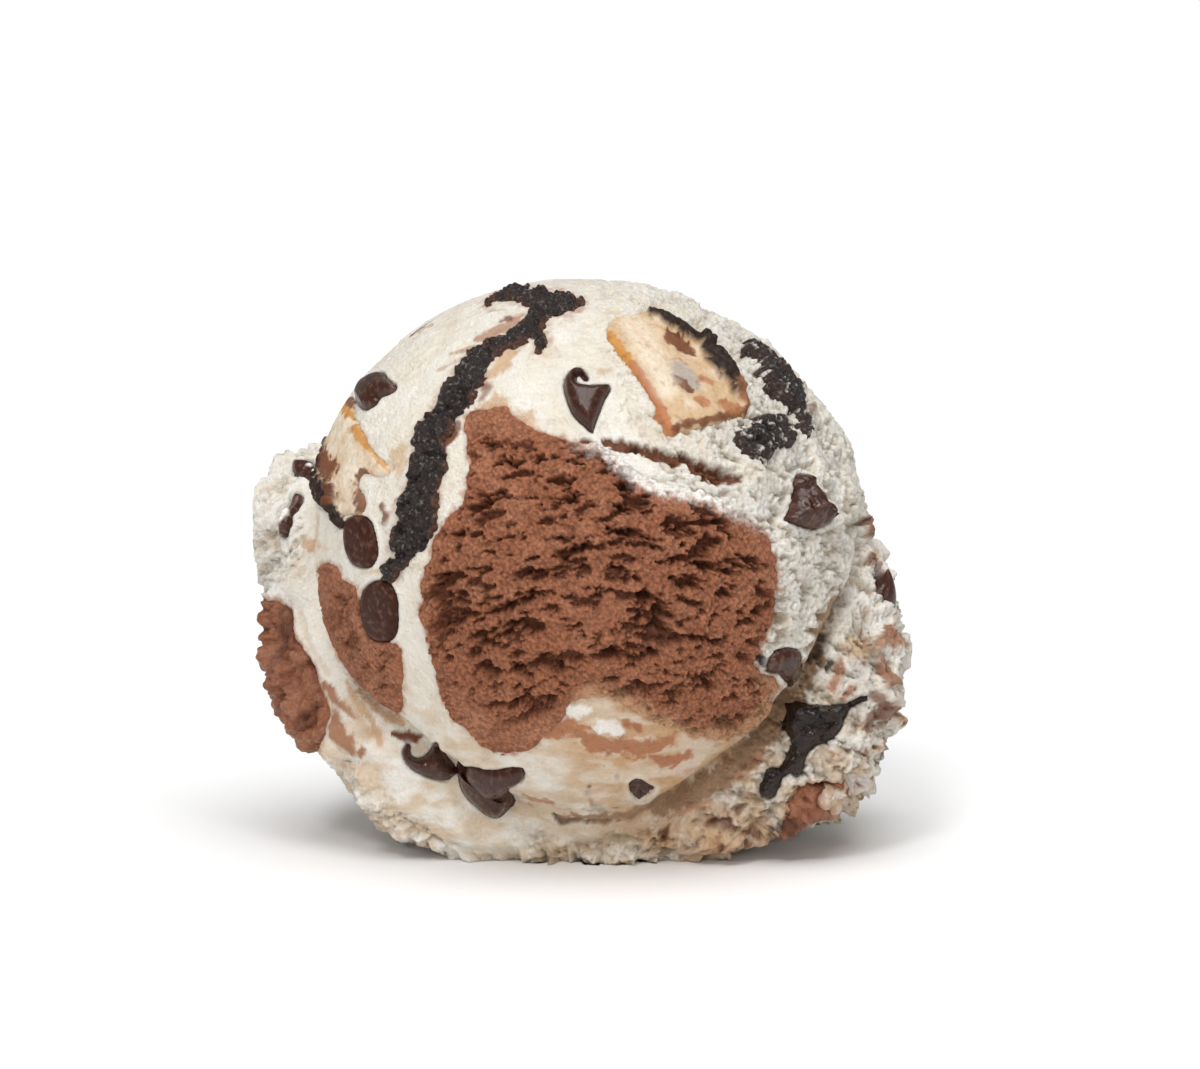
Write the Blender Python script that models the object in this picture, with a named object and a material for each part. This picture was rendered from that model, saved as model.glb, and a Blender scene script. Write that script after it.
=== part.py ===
"""One scoop of ice cream, standing on its ragged base: vanilla with chocolate ice cream, a dark cookie swirl,
fudge, biscuit pieces and chocolate chips, each a solid of its own let into the vanilla.

Run it with: blender --background --python part.py
The front faces -Y, +Z is up, and the origin is the middle of the flat spot that the scoop rests on.
"""

import itertools
import math

import bmesh
import bpy
import numpy as np
from mathutils import Matrix, Vector

MM = 0.001

# Driving dimensions, in millimetres
BALL_RADIUS = 33.6
BALL_HEIGHT = 35.0  # of the ball's centre over the surface that the scoop rests on
BACK_RADIUS = 29.5  # the back is the torn side, a little flatter than the ball
FOOT_RADIUS = 41.5  # how far the squeezed-out base would reach down, before the floor flattens it
GAP = 0.3  # between each inlay and its pocket
OUTLINE_STEP = 2.0  # between the points of an inlay's outline
PLUG_PROUD = 12.0  # how far an inlay's cutter stands out of the surface
GRID = 21  # quads along each side of the cube that the body's surface is drawn on
FRONT_SHARE = 0.36  # how strongly those quads gather towards the front

# The eye that the places below are measured from: straight in front, a little above, looking at the ball's centre
EYE_DISTANCE = 407.0
EYE_RISE = math.radians(7.0)
EDGE_WRAP = 0.12  # a place this far past the scoop's edge lies a degree round it
TOWARDS = np.array([0.0, -math.cos(EYE_RISE), math.sin(EYE_RISE)])
UPWARDS = np.array([0.0, math.sin(EYE_RISE), math.cos(EYE_RISE)])
RIGHT = np.array([1.0, 0.0, 0.0])
CENTRE = np.array([0.0, 0.0, BALL_HEIGHT])

# Round the ball as the eye sees it, anticlockwise from the right: (degrees, value)
BALL_EDGE = [(0, 33.5), (50, 33.0), (90, 33.6), (125, 34.8), (150, 35.5), (190, 34.4), (240, 33.6), (310, 33.4)]
COLLAR_REACH = [
    (5, 0.8), (150, 0.2), (157, 0.6), (163, 7.4), (172, 8.2), (181, 6.6), (187, 6.4), (198, 7.8), (210, 8.8),
    (218, 6.4), (230, 7.8), (242, 8.6), (270, 7.0), (292, 6.6), (312, 8.9), (324, 10.4), (336, 7.2), (343, 7.8),
    (349, 3.0), (357, 3.4),
]
GROOVE_ANGLE = [
    (0, 74), (20, 92), (160, 92), (172, 80), (190, 82), (206, 76), (220, 65), (243, 65), (264, 70), (282, 68),
    (297, 61), (330, 60), (345, 62),
]
GROOVE_DEPTH = 1.5

# Where the parts of the scoop begin and end, in degrees from the line to the eye
GROOVE_WIDTH = 4.0
COLLAR_RISE = 13.0  # over which the collar swells up behind the groove
COLLAR_END = 104.0  # where the collar starts to fall away again at the ball's sides
COLLAR_END_LOW = 16.0  # and how much later below
COLLAR_FALL = 42.0
BACK_SPAN = (88.0, 172.0)  # over which the ball flattens to the back
FOOT_SPAN = (62.0, 78.0)  # over which the base starts behind the front of the ball

# Lumps and crevices, in millimetres: how far apart they are and how much they rise and fall
LUMP_SIZE = 8.5
LUMP_HEIGHT = 4.4
CRAG_SIZE = 4.4
CRAG_HEIGHT = 2.2
CREVICE_SIZE = (8.0, 3.4, 8.0)  # of the chocolate's level crevices: across, up and into the scoop
CREVICE_DEPTH = 2.4
CHOCOLATE_PROUD = 0.35  # how far the chocolate may stand out of the ball

# Outlines as the eye sees them, in millimetres to the right of the ball's centre and above it
CHOCOLATE_FRONT = [
    (-14.8, 17.2), (-10.2, 17.4), (-7.0, 14.8), (-1.6, 13.8), (2.3, 12.6), (6.8, 9.2), (12.8, 7.6), (18.2, 5.2),
    (21.5, 1.2), (22.4, -4.2), (21.0, -10.2), (19.6, -13.4), (22.6, -16.0), (18.4, -21.6), (12.8, -22.0),
    (7.4, -20.0), (2.0, -17.4), (-2.5, -17.4), (-4.6, -20.6), (-9.4, -24.0), (-13.8, -22.6), (-17.2, -19.2),
    (-19.3, -13.2), (-20.8, -6.6), (-19.9, -0.6), (-18.0, 3.6), (-15.6, 7.0), (-15.2, 12.0),
]
CHOCOLATE_LEFT = [
    (-32.2, -1.5), (-28.6, -2.0), (-24.4, -12.0), (-23.4, -16.0), (-23.0, -18.8), (-26.8, -17.0), (-29.8, -13.8),
    (-31.4, -10.2), (-32.0, -5.4),
]
CHOCOLATE_RIM_LEFT = [
    (-39.0, -6.0), (-37.0, -9.6), (-34.6, -12.8), (-32.6, -17.0), (-32.4, -20.6), (-33.6, -23.0), (-35.4, -22.4),
    (-36.6, -19.0), (-38.0, -14.0),
]
CHOCOLATE_RIM_RIGHT = [(23.4, -33.0), (23.8, -29.4), (26.2, -27.2), (30.6, -26.8), (31.6, -28.6), (27.0, -31.4)]
FUDGE_RIM = [
    (20.6, -28.8), (20.8, -25.6), (22.4, -23.6), (23.4, -21.4), (23.0, -19.4), (25.4, -17.8), (31.6, -16.4),
    (33.2, -17.6), (31.6, -20.4), (29.6, -22.8), (27.0, -23.8), (25.6, -26.2), (23.6, -27.4), (22.4, -29.2),
]
BISCUIT_RIGHT = [
    (1.6, 27.6), (3.4, 28.6), (6.6, 29.0), (11.6, 26.0), (15.2, 22.0), (18.4, 16.8), (16.6, 15.6), (9.6, 14.7),
    (8.2, 16.4), (5.4, 20.4),
]
BISCUIT_LEFT = [
    (-30.2, 18.6), (-28.6, 16.0), (-24.8, 10.2), (-27.2, 9.0), (-28.4, 5.2), (-30.4, 4.6), (-32.6, 8.6),
    (-33.2, 12.0), (-31.8, 16.0),
]
CRUMB_STRIP = [
    (18.4, 25.4), (20.2, 25.4), (22.4, 23.2), (25.8, 18.8), (26.2, 14.8), (24.2, 15.2), (22.0, 19.0), (19.8, 23.0),
]

# The dark swirl, as a stroke of (right, up, half its width) that thins to a tail
SWIRL_STROKE = [
    (-11.8, 30.6, 1.0), (-8.6, 30.6, 1.8), (-6.8, 28.8, 2.2), (-9.6, 26.0, 1.7), (-13.0, 22.8, 1.7),
    (-15.8, 19.2, 1.9), (-18.2, 15.6, 1.9), (-19.8, 12.0, 1.9), (-19.9, 7.8, 1.7), (-21.4, 3.6, 2.4),
    (-22.8, 0.2, 1.8), (-24.4, -2.6, 0.9),
]
SWIRL_LOBE_STROKE = [(-6.2, 29.4, 1.5), (-2.0, 30.2, 0.5)]

# The same kinds of inlay on the back, as seen by an eye straight behind
CHOCOLATE_BACK = [
    (-17.0, 9.0), (-11.0, 14.0), (-3.0, 13.0), (3.0, 8.0), (4.5, 1.0), (0.5, -6.0), (-6.0, -10.5), (-13.0, -9.0),
    (-18.5, -3.0),
]
SWIRL_BACK_STROKE = [(5.6, 22.4, 0.9), (9.4, 18.4, 1.9), (11.6, 12.6, 2.2), (12.2, 6.0, 1.7), (14.6, 0.2, 1.0)]
BISCUIT_BACK = [(9.0, -13.4), (15.6, -11.0), (18.0, -16.4), (12.4, -20.6), (7.4, -18.4)]

# Chips: (name, right, up, side of the scoop, base diameter, height, lean of the tip from straight out, clock
# angle of the tip, how far the chip's middle lies under the surface). Lean 180 shows the flat base.
CHIPS = [
    ("chip_curl", -0.6, 18.4, "front", 6.4, 6.8, 78, 128, 0.6),
    ("chip_nub", -12.0, -28.6, "front", 6.4, 7.0, 76, 30, 1.0),
    ("chip_horn", -20.6, -24.6, "front", 5.4, 6.2, 76, 165, 1.2),
    ("chip_disc_upper", -27.9, 1.6, "front", 6.8, 4.8, 166, 20, 1.2),
    ("chip_disc_lower", -25.7, -6.9, "front", 7.8, 5.2, 168, 20, 1.3),
    ("chip_shoulder", -26.1, 19.5, "front", 5.6, 6.0, 84, 35, 0.9),
    ("chip_cone", 26.0, 6.1, "front", 6.2, 6.6, 66, 98, 0.7),
    ("chip_low_right", 22.7, -12.9, "front", 5.8, 5.2, 150, 40, 1.2),
    ("chip_pit", 5.9, -28.0, "front", 3.9, 3.6, 40, 100, 0.5),
    ("chip_rim_top", -36.5, 10.8, "front", 5.6, 5.2, 84, 160, 0.6),
    ("chip_rim_cream", -38.6, 4.4, "front", 6.6, 5.4, 100, 290, 0.6),
    ("chip_edge_right", 36.6, -4.2, "front", 4.8, 4.6, 60, 80, 0.4),
    ("chip_back_upper", -9.0, 24.0, "back", 6.4, 6.2, 80, 200, 0.7),
    ("chip_back_left", -26.0, 8.0, "back", 7.0, 5.0, 165, 20, 1.2),
    ("chip_back_right", 22.0, 10.0, "back", 6.6, 6.8, 70, 60, 0.6),
    ("chip_back_low", -8.0, -19.5, "back", 7.0, 6.6, 78, 320, 0.9),
    ("chip_back_rim", 27.5, -15.0, "back", 6.2, 5.6, 60, 190, 0.5),
]
CHIP_SIDES = 8
CRUMB_LUMP = ("crumb_lump", 20.5, 13.9, 3.1)  # name, right, up, radius of the lower dark crumb

VANILLA = (0.86, 0.80, 0.70)
CHOCOLATE = (0.30, 0.13, 0.07)
COOKIE = (0.030, 0.020, 0.017)
FUDGE = (0.035, 0.017, 0.012)
BISCUIT = (0.72, 0.52, 0.30)
CHIP = (0.075, 0.028, 0.016)

RANDOM = np.random.default_rng(7)
SHUFFLE = RANDOM.permutation(256)
SLOPES = RANDOM.normal(size=(256, 3))
SLOPES /= np.linalg.norm(SLOPES, axis=1)[:, None]


def smooth(low, high, value):
    """0 below low, 1 above high, and a soft step between."""
    share = np.clip((value - low) / (high - low), 0.0, 1.0)
    return share * share * (3.0 - 2.0 * share)


def noise(points):
    """Gradient noise of about -0.7 to 0.7, with one bump for each unit of length."""
    cell = np.floor(points).astype(np.int64)
    local = points - cell
    ease = local**3 * (local * (local * 6.0 - 15.0) + 10.0)
    total = np.zeros(len(points))
    for corner in itertools.product((0, 1), repeat=3):
        x, y, z = ((cell + corner) & 255).T
        slope = SLOPES[SHUFFLE[(SHUFFLE[(SHUFFLE[x] + y) & 255] + z) & 255]]
        weight = np.prod(np.where(corner, ease, 1.0 - ease), axis=1)
        total += weight * np.einsum("ij,ij->i", slope, local - corner)
    return total


def round_table(pairs, clock):
    """The value of a table of (degrees, value) pairs at each clock angle, with its corners rounded off."""
    degrees, values = np.array(sorted(pairs), float).T
    taps = (-4.0, -2.0, 0.0, 2.0, 4.0)
    return sum(np.interp(clock + tap, degrees, values, period=360.0) for tap in taps) / len(taps)


def seen_angles(directions):
    """(degrees from the line to the eye, clock angle) of each direction from the ball's centre."""
    away = np.degrees(np.arccos(np.clip(directions @ TOWARDS, -1.0, 1.0)))
    clock = np.degrees(np.arctan2(directions @ UPWARDS, directions @ RIGHT)) % 360.0
    return away, clock


def plain_radius(directions):
    """The scoop's form without relief: a ball, the groove that the scoop's lip left, the collar squeezed out
    behind it, the flatter back and the base."""
    away, clock = seen_angles(directions)
    edge = round_table(BALL_EDGE, clock)
    reach = round_table(COLLAR_REACH, clock)
    groove = round_table(GROOVE_ANGLE, clock)
    radius = BALL_RADIUS + (edge - BALL_RADIUS) * smooth(35.0, 85.0, away)
    collar_share = smooth(0.0, 4.0, reach)
    low_share = smooth(0.2, 0.9, -directions[:, 2])
    fall_start = COLLAR_END + COLLAR_END_LOW * low_share
    rise = smooth(0.0, COLLAR_RISE, away - groove)
    fall = 1.0 - smooth(fall_start, fall_start + COLLAR_FALL, away)
    radius -= GROOVE_DEPTH * collar_share * np.exp(-(((away - groove) / GROOVE_WIDTH) ** 2))
    radius += (BACK_RADIUS - radius) * smooth(*BACK_SPAN, away)
    radius += reach * rise * fall
    foot = smooth(0.72, 0.93, -directions[:, 2]) * smooth(*FOOT_SPAN, away)
    return radius + (np.maximum(FOOT_RADIUS, radius) - radius) * foot


def side_axes(side):
    """(right, up, towards the eye) for the eye in front, or for its twin straight behind."""
    turn = 1.0 if side == "front" else -1.0
    return turn * RIGHT, UPWARDS * (1.0, turn, 1.0), TOWARDS * (1.0, turn, 1.0)


def direction_seen_at(right, up, side="front"):
    """The direction from the ball's centre to the point that the eye sees at this place. A place past the
    scoop's edge is taken round it."""
    along, upwards, towards = side_axes(side)
    clock = math.atan2(up, right)
    flat = math.cos(clock) * along + math.sin(clock) * upwards
    away = np.radians(np.linspace(0.0, 125.0, 251))
    directions = np.sin(away)[:, None] * flat + np.cos(away)[:, None] * towards
    radius = plain_radius(directions)
    seen = radius * np.sin(away) * EYE_DISTANCE / (EYE_DISTANCE - radius * np.cos(away))
    seen = np.maximum.accumulate(seen) + EDGE_WRAP * np.maximum(0.0, np.degrees(away) - 75.0)
    found = np.interp(math.hypot(right, up), seen, away)
    return math.sin(found) * flat + math.cos(found) * towards


def even_closed(points, step):
    """A closed smooth line through the points, with a point about every step."""
    points = np.array(points, float)
    before, after, later = (np.roll(points, shift, axis=0) for shift in (1, -1, -2))
    line = []
    for a, b, c, d in zip(before, points, after, later, strict=True):
        count = max(1, round(float(np.linalg.norm(c - b)) / step))
        for t in np.arange(count) / count:
            line.append(
                0.5 * (2 * b + (c - a) * t + (2 * a - 5 * b + 4 * c - d) * t**2 + (3 * b - a - 3 * c + d) * t**3)
            )
    return np.array(line)


def stroke_outline(stroke):
    """The closed outline of a stroke whose points are (right, up, half width)."""
    stroke = np.array(stroke, float)
    along = np.gradient(stroke[:, :2], axis=0)
    along /= np.linalg.norm(along, axis=1)[:, None]
    side = np.column_stack([-along[:, 1], along[:, 0]]) * stroke[:, 2:]
    start = stroke[:1, :2] - along[:1] * stroke[0, 2]
    end = stroke[-1:, :2] + along[-1:] * stroke[-1, 2]
    return np.vstack([start, stroke[:, :2] + side, end, (stroke[:, :2] - side)[::-1]])


def outline_distance(outline, points):
    """How far each point lies inside a closed outline, negative outside."""
    start, end = outline, np.roll(outline, -1, axis=0)
    edge = end - start
    away = points[:, None] - start
    share = np.clip((away * edge).sum(2) / (edge * edge).sum(1), 0.0, 1.0)
    nearest = np.linalg.norm(away - share[..., None] * edge, axis=2).min(1)
    above = (start[:, 1] > points[:, 1:]) != (end[:, 1] > points[:, 1:])
    slope = edge[:, 0] / np.where(edge[:, 1] == 0.0, 1e-9, edge[:, 1])
    crossed = points[:, :1] < start[:, 0] + (points[:, 1:] - start[:, 1]) * slope
    inside = (above & crossed).sum(1) % 2 == 1
    return np.where(inside, nearest, -nearest)


def seen_place(points, side="front"):
    """(right, up) of each point as the eye sees it, and whether it lies on that side."""
    along, upwards, towards = side_axes(side)
    local = points - CENTRE
    nearer = local @ towards
    grow = EYE_DISTANCE / (EYE_DISTANCE - nearer)
    return np.column_stack([local @ along * grow, local @ upwards * grow]), nearer > 0.0


def relief(directions, points):
    """Height of the lumps and crevices over the plain form. The torn side, the collar and the back are rough, and
    the chocolate is pulled into long level crevices."""
    away, clock = seen_angles(directions)
    torn = smooth(0.25, 0.75, directions[:, 0] + 0.25 * directions[:, 2]) * 0.5
    collar = smooth(0.0, 8.0, away - round_table(GROOVE_ANGLE, clock))
    rough = np.maximum(0.08, np.maximum(torn, np.maximum(collar, smooth(95.0, 125.0, away))))
    lumps = LUMP_HEIGHT * np.abs(noise(points / LUMP_SIZE)) - 1.0
    height = rough * (lumps + CRAG_HEIGHT * noise(points / CRAG_SIZE + 31.0))
    for outline, side in ((CHOCOLATE_FRONT, "front"), (CHOCOLATE_BACK, "back")):
        place, there = seen_place(points, side)
        inside = smooth(0.0, 2.5, outline_distance(np.array(outline), place)) * there
        pulled = noise(np.column_stack([place, points[:, 1]]) / CREVICE_SIZE)
        height = height * (1.0 - inside) + inside * np.minimum(CHOCOLATE_PROUD, CREVICE_DEPTH * pulled)
    return height


def scoop_points(directions):
    """The points of the scoop's whole surface, in millimetres, with its base flattened by the floor."""
    radius = plain_radius(directions)
    plain = CENTRE + directions * radius[:, None]
    points = plain + directions * relief(directions, plain)[:, None]
    points[:, 2] = np.maximum(points[:, 2], 0.0)
    return points


def new_object(name, mesh, colour, collection, roughness=0.5):
    """An object for the mesh, with a plain material of that colour and roughness."""
    material = bpy.data.materials.new(name)
    material.use_nodes = True
    shader = material.node_tree.nodes["Principled BSDF"]
    shader.inputs["Base Color"].default_value = (*colour, 1.0)
    shader.inputs["Roughness"].default_value = roughness
    shader.inputs["Metallic"].default_value = 0.0
    mesh.materials.clear()
    mesh.materials.append(material)
    made = bpy.data.objects.new(name, mesh)
    collection.objects.link(made)
    return made


def mesh_from(name, build):
    """A mesh that build, a function of a bmesh, fills. Its faces are turned to point out."""
    shape = bmesh.new()
    build(shape)
    bmesh.ops.recalc_face_normals(shape, faces=shape.faces[:])
    mesh = bpy.data.meshes.new(name)
    shape.to_mesh(mesh)
    shape.free()
    return mesh


def scoop_mesh(name):
    """The whole scoop as one closed mesh: a cube's grid, blown up to a ball and then to the scoop's form."""

    def build(shape):
        bmesh.ops.create_cube(shape, size=2.0)
        bmesh.ops.subdivide_edges(shape, edges=shape.edges[:], cuts=GRID - 1, use_grid_fill=True)
        cube = np.array([v.co for v in shape.verts])
        ball = np.tan(cube * math.pi / 4.0)
        ball /= np.linalg.norm(ball, axis=1)[:, None]
        towards = ball @ TOWARDS
        away = np.arccos(np.clip(towards, -1.0, 1.0))
        gathered = away - FRONT_SHARE * np.sin(away)
        flat = ball - towards[:, None] * TOWARDS
        flat /= np.maximum(np.linalg.norm(flat, axis=1), 1e-9)[:, None]
        directions = np.sin(gathered)[:, None] * flat + np.cos(gathered)[:, None] * TOWARDS
        for vert, point in zip(shape.verts, scoop_points(directions), strict=True):
            vert.co = point * MM
        bmesh.ops.triangulate(shape, faces=shape.faces[:])

    return mesh_from(name, build)


def widened(line, grow):
    """A closed line of points in a plane, moved outwards by grow."""
    later = np.roll(line, -1, axis=0)
    along = later - np.roll(line, 1, axis=0)
    along /= np.linalg.norm(along, axis=1)[:, None]
    turn = math.copysign(grow, (line[:, 0] * later[:, 1] - line[:, 1] * later[:, 0]).sum())
    return line + turn * np.column_stack([along[:, 1], -along[:, 0]])


def plug_mesh(name, outline, side, depth, grow=0.0):
    """A tapered plug with its point at the ball's centre. It stands out through the surface at the outline, and
    its inner face lies at that depth under the surface. grow widens it all round."""
    line = even_closed(outline, OUTLINE_STEP)
    rays = np.array([direction_seen_at(right, up, side) for right, up in line])
    middle = rays.mean(0) / np.linalg.norm(rays.mean(0))
    across = np.cross(middle, UPWARDS)
    across /= np.linalg.norm(across)
    axes = np.array([across, np.cross(middle, across)])
    surface = plain_radius(middle[None])[0]
    inner, outer = surface - depth - grow, surface + PLUG_PROUD
    flat = widened((rays / (rays @ middle)[:, None]) @ axes.T * surface, grow)

    def build(shape):
        floor = [shape.verts.new((CENTRE + (middle + point @ axes / surface) * inner) * MM) for point in flat]
        base = shape.faces.new(floor)
        raised = bmesh.ops.extrude_face_region(shape, geom=[base])["geom"]
        top = [v for v in raised if isinstance(v, bmesh.types.BMVert)]
        centre = Vector(CENTRE * MM)
        bmesh.ops.scale(shape, vec=Vector((outer / inner,) * 3), space=Matrix.Translation(-centre), verts=top)

    return mesh_from(name, build)


def surface_frame(right, up, side, lean, clock, sink):
    """The matrix of a piece set into the surface there: its own +Z leans from straight out towards the clock
    angle, and its middle lies sink under the surface."""
    out = direction_seen_at(right, up, side)
    along = side_axes(side)[0]
    east = along - out * (out @ along)
    east /= np.linalg.norm(east)
    north = np.cross(out, east)
    lean, clock = math.radians(lean), math.radians(clock)
    flat = math.cos(clock) * east + math.sin(clock) * north
    tip = Vector(math.cos(lean) * out + math.sin(lean) * flat)
    aside = tip.cross(Vector(out)).normalized() if math.sin(lean) > 0.05 else Vector(east)
    turned = Matrix((aside, tip.cross(aside), tip)).transposed().to_4x4()
    place = CENTRE + out * (plain_radius(out[None])[0] - sink)
    return Matrix.Translation(Vector(place * MM)) @ turned


def chip_mesh(name, diameter, height, grow=0.0):
    """A chocolate chip: a rounded drop on a flat base, turned, with its tip bent over. Its middle is its origin."""
    radius = diameter / 2.0
    profile = [(0.0, 0.5), (0.12, 0.44), (0.36, 0.22), (0.74, -0.10), (1.0, -0.36), (0.90, -0.5), (0.0, -0.5)]

    def build(shape):
        ring = [
            shape.verts.new(((across * radius + grow * (across > 0.0)) * MM, 0.0, level * (height + 2.0 * grow) * MM))
            for across, level in profile
        ]
        edges = [shape.edges.new(pair) for pair in itertools.pairwise(ring)]
        bmesh.ops.spin(
            shape, geom=ring + edges, cent=(0, 0, 0), axis=(0, 0, 1), angle=math.tau, steps=CHIP_SIDES, use_merge=True
        )
        bmesh.ops.remove_doubles(shape, verts=shape.verts[:], dist=1e-6)
        for vert in shape.verts:
            raised = max(0.0, vert.co.z / (height * MM) + 0.1)
            vert.co.y += 1.5 * radius * MM * raised**2

    return mesh_from(name, build)


def crumb_mesh(name, radius, grow=0.0):
    """A craggy crumb, longer than it is wide."""

    def build(shape):
        bmesh.ops.create_icosphere(shape, subdivisions=2, radius=1.0)
        ball = np.array([v.co for v in shape.verts])
        craggy = 1.0 + 0.42 * noise(ball * 1.7 + 5.0) + 0.22 * noise(ball * 4.1 + 9.0)
        sizes = np.array([1.25, 0.85, 0.8]) * radius
        for vert, point in zip(shape.verts, ball * craggy[:, None] * sizes + ball * grow, strict=True):
            vert.co = point * MM

    return mesh_from(name, build)


def apply_boolean(target, operation, operands):
    """Applies a Boolean on target with each operand in turn, and replaces its mesh with the result."""
    for operand in operands:
        boolean = target.modifiers.new(operation.lower(), "BOOLEAN")
        boolean.operation, boolean.solver, boolean.object = operation, "MANIFOLD", operand
    bpy.context.view_layer.update()
    result = bpy.data.meshes.new_from_object(target.evaluated_get(bpy.context.evaluated_depsgraph_get()))
    target.modifiers.clear()
    target.data = result


def keep_largest(target):
    """Drops the loose scraps that a cut leaves along a ragged edge."""
    shape = bmesh.new()
    shape.from_mesh(target.data)
    left, parts = set(shape.verts), []
    while left:
        stack, part = [left.pop()], set()
        while stack:
            vert = stack.pop()
            part.add(vert)
            near = {e.other_vert(vert) for e in vert.link_edges} & left
            left -= near
            stack.extend(near)
        parts.append(part)
    largest = max(parts, key=len)
    bmesh.ops.delete(shape, geom=[v for v in shape.verts if v not in largest], context="VERTS")
    shape.to_mesh(target.data)
    shape.free()


def main():
    for old in list(bpy.data.objects):
        bpy.data.objects.remove(old)
    parts = bpy.data.collections.new("ice_cream_scoop")
    cutters = bpy.data.collections.new("cutters")
    for group in (parts, cutters):
        bpy.context.scene.collection.children.link(group)

    def as_cutter(made):
        made.hide_render, made.display_type = True, "WIRE"
        return made

    pockets = []

    # Loose pieces that keep their own form: chips and the dark crumb
    for name, right, up, side, diameter, height, lean, clock, sink in CHIPS:
        place = surface_frame(right, up, side, lean, clock, sink)
        chip = new_object(name, chip_mesh(name, diameter, height), CHIP, parts, 0.35)
        pocket = as_cutter(new_object(name + "_pocket", chip_mesh(name, diameter, height, GAP), CHIP, cutters))
        chip.matrix_world = pocket.matrix_world = place
        pockets.append(pocket)
    name, right, up, radius = CRUMB_LUMP
    place = surface_frame(right, up, "front", 0, 0, 0.9)
    lump = new_object(name, crumb_mesh(name, radius), COOKIE, parts, 0.6)
    pocket = as_cutter(new_object(name + "_pocket", crumb_mesh(name, radius, GAP), COOKIE, cutters))
    lump.matrix_world = pocket.matrix_world = place
    pockets.append(pocket)

    # Inlays that end flush with the scoop's surface, each cut clear of those made before it
    inlays = [
        ("biscuit_right", BISCUIT_RIGHT, "front", 8.0, BISCUIT, 0.6),
        ("biscuit_left", BISCUIT_LEFT, "front", 7.0, BISCUIT, 0.6),
        ("crumb_strip", CRUMB_STRIP, "front", 4.0, COOKIE, 0.6),
        ("cookie_swirl_front", stroke_outline(SWIRL_STROKE), "front", 6.0, COOKIE, 0.5),
        ("cookie_swirl_lobe", stroke_outline(SWIRL_LOBE_STROKE), "front", 5.0, COOKIE, 0.5),
        ("fudge_rim", FUDGE_RIM, "front", 5.0, FUDGE, 0.2),
        ("chocolate_front", CHOCOLATE_FRONT, "front", 15.0, CHOCOLATE, 0.7),
        ("chocolate_left", CHOCOLATE_LEFT, "front", 8.0, CHOCOLATE, 0.6),
        ("chocolate_rim_left", CHOCOLATE_RIM_LEFT, "front", 8.0, CHOCOLATE, 0.6),
        ("chocolate_rim_right", CHOCOLATE_RIM_RIGHT, "front", 6.0, CHOCOLATE, 0.6),
        ("biscuit_back", BISCUIT_BACK, "back", 7.0, BISCUIT, 0.6),
        ("cookie_swirl_back", stroke_outline(SWIRL_BACK_STROKE), "back", 6.0, COOKIE, 0.5),
        ("chocolate_back", CHOCOLATE_BACK, "back", 12.0, CHOCOLATE, 0.7),
    ]
    for name, outline, side, depth, colour, roughness in inlays:
        inlay = new_object(name, scoop_mesh(name), colour, parts, roughness)
        plug = as_cutter(new_object(name + "_plug", plug_mesh(name, outline, side, depth), colour, cutters))
        apply_boolean(inlay, "INTERSECT", [plug])
        bpy.data.objects.remove(plug)
        apply_boolean(inlay, "DIFFERENCE", pockets)
        keep_largest(inlay)
        pocket = plug_mesh(name + "_pocket", outline, side, depth, GAP)
        pockets.append(as_cutter(new_object(name + "_pocket", pocket, colour, cutters)))

    body = new_object("vanilla_ice_cream", scoop_mesh("vanilla_ice_cream"), VANILLA, parts, 0.5)
    apply_boolean(body, "DIFFERENCE", pockets)
    keep_largest(body)


main()
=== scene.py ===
"""The looks of the scoop of ice cream: torn and wiped ice cream, its mixed-in pieces, and a white studio."""

import itertools
import math

import bpy
import numpy as np
from mathutils import Matrix, Vector


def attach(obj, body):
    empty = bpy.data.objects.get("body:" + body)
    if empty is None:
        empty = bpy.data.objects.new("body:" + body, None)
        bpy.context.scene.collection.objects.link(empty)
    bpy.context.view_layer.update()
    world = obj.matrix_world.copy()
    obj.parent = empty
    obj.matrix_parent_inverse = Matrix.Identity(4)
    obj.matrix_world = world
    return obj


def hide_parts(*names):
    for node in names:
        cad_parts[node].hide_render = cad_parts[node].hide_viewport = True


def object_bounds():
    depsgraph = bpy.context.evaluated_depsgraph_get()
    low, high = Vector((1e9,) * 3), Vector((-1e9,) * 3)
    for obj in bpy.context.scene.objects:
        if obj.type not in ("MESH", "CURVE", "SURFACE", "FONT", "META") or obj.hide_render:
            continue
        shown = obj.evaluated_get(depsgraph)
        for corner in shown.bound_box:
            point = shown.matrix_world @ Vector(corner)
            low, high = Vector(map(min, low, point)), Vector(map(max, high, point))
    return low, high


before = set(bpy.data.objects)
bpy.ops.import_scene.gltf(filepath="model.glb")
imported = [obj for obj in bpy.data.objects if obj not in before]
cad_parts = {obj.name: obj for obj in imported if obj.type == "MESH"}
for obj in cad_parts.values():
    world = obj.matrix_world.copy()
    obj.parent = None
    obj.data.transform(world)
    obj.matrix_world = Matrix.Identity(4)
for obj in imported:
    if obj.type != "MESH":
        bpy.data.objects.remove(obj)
CAD_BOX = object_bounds()
MM = 0.001

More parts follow.
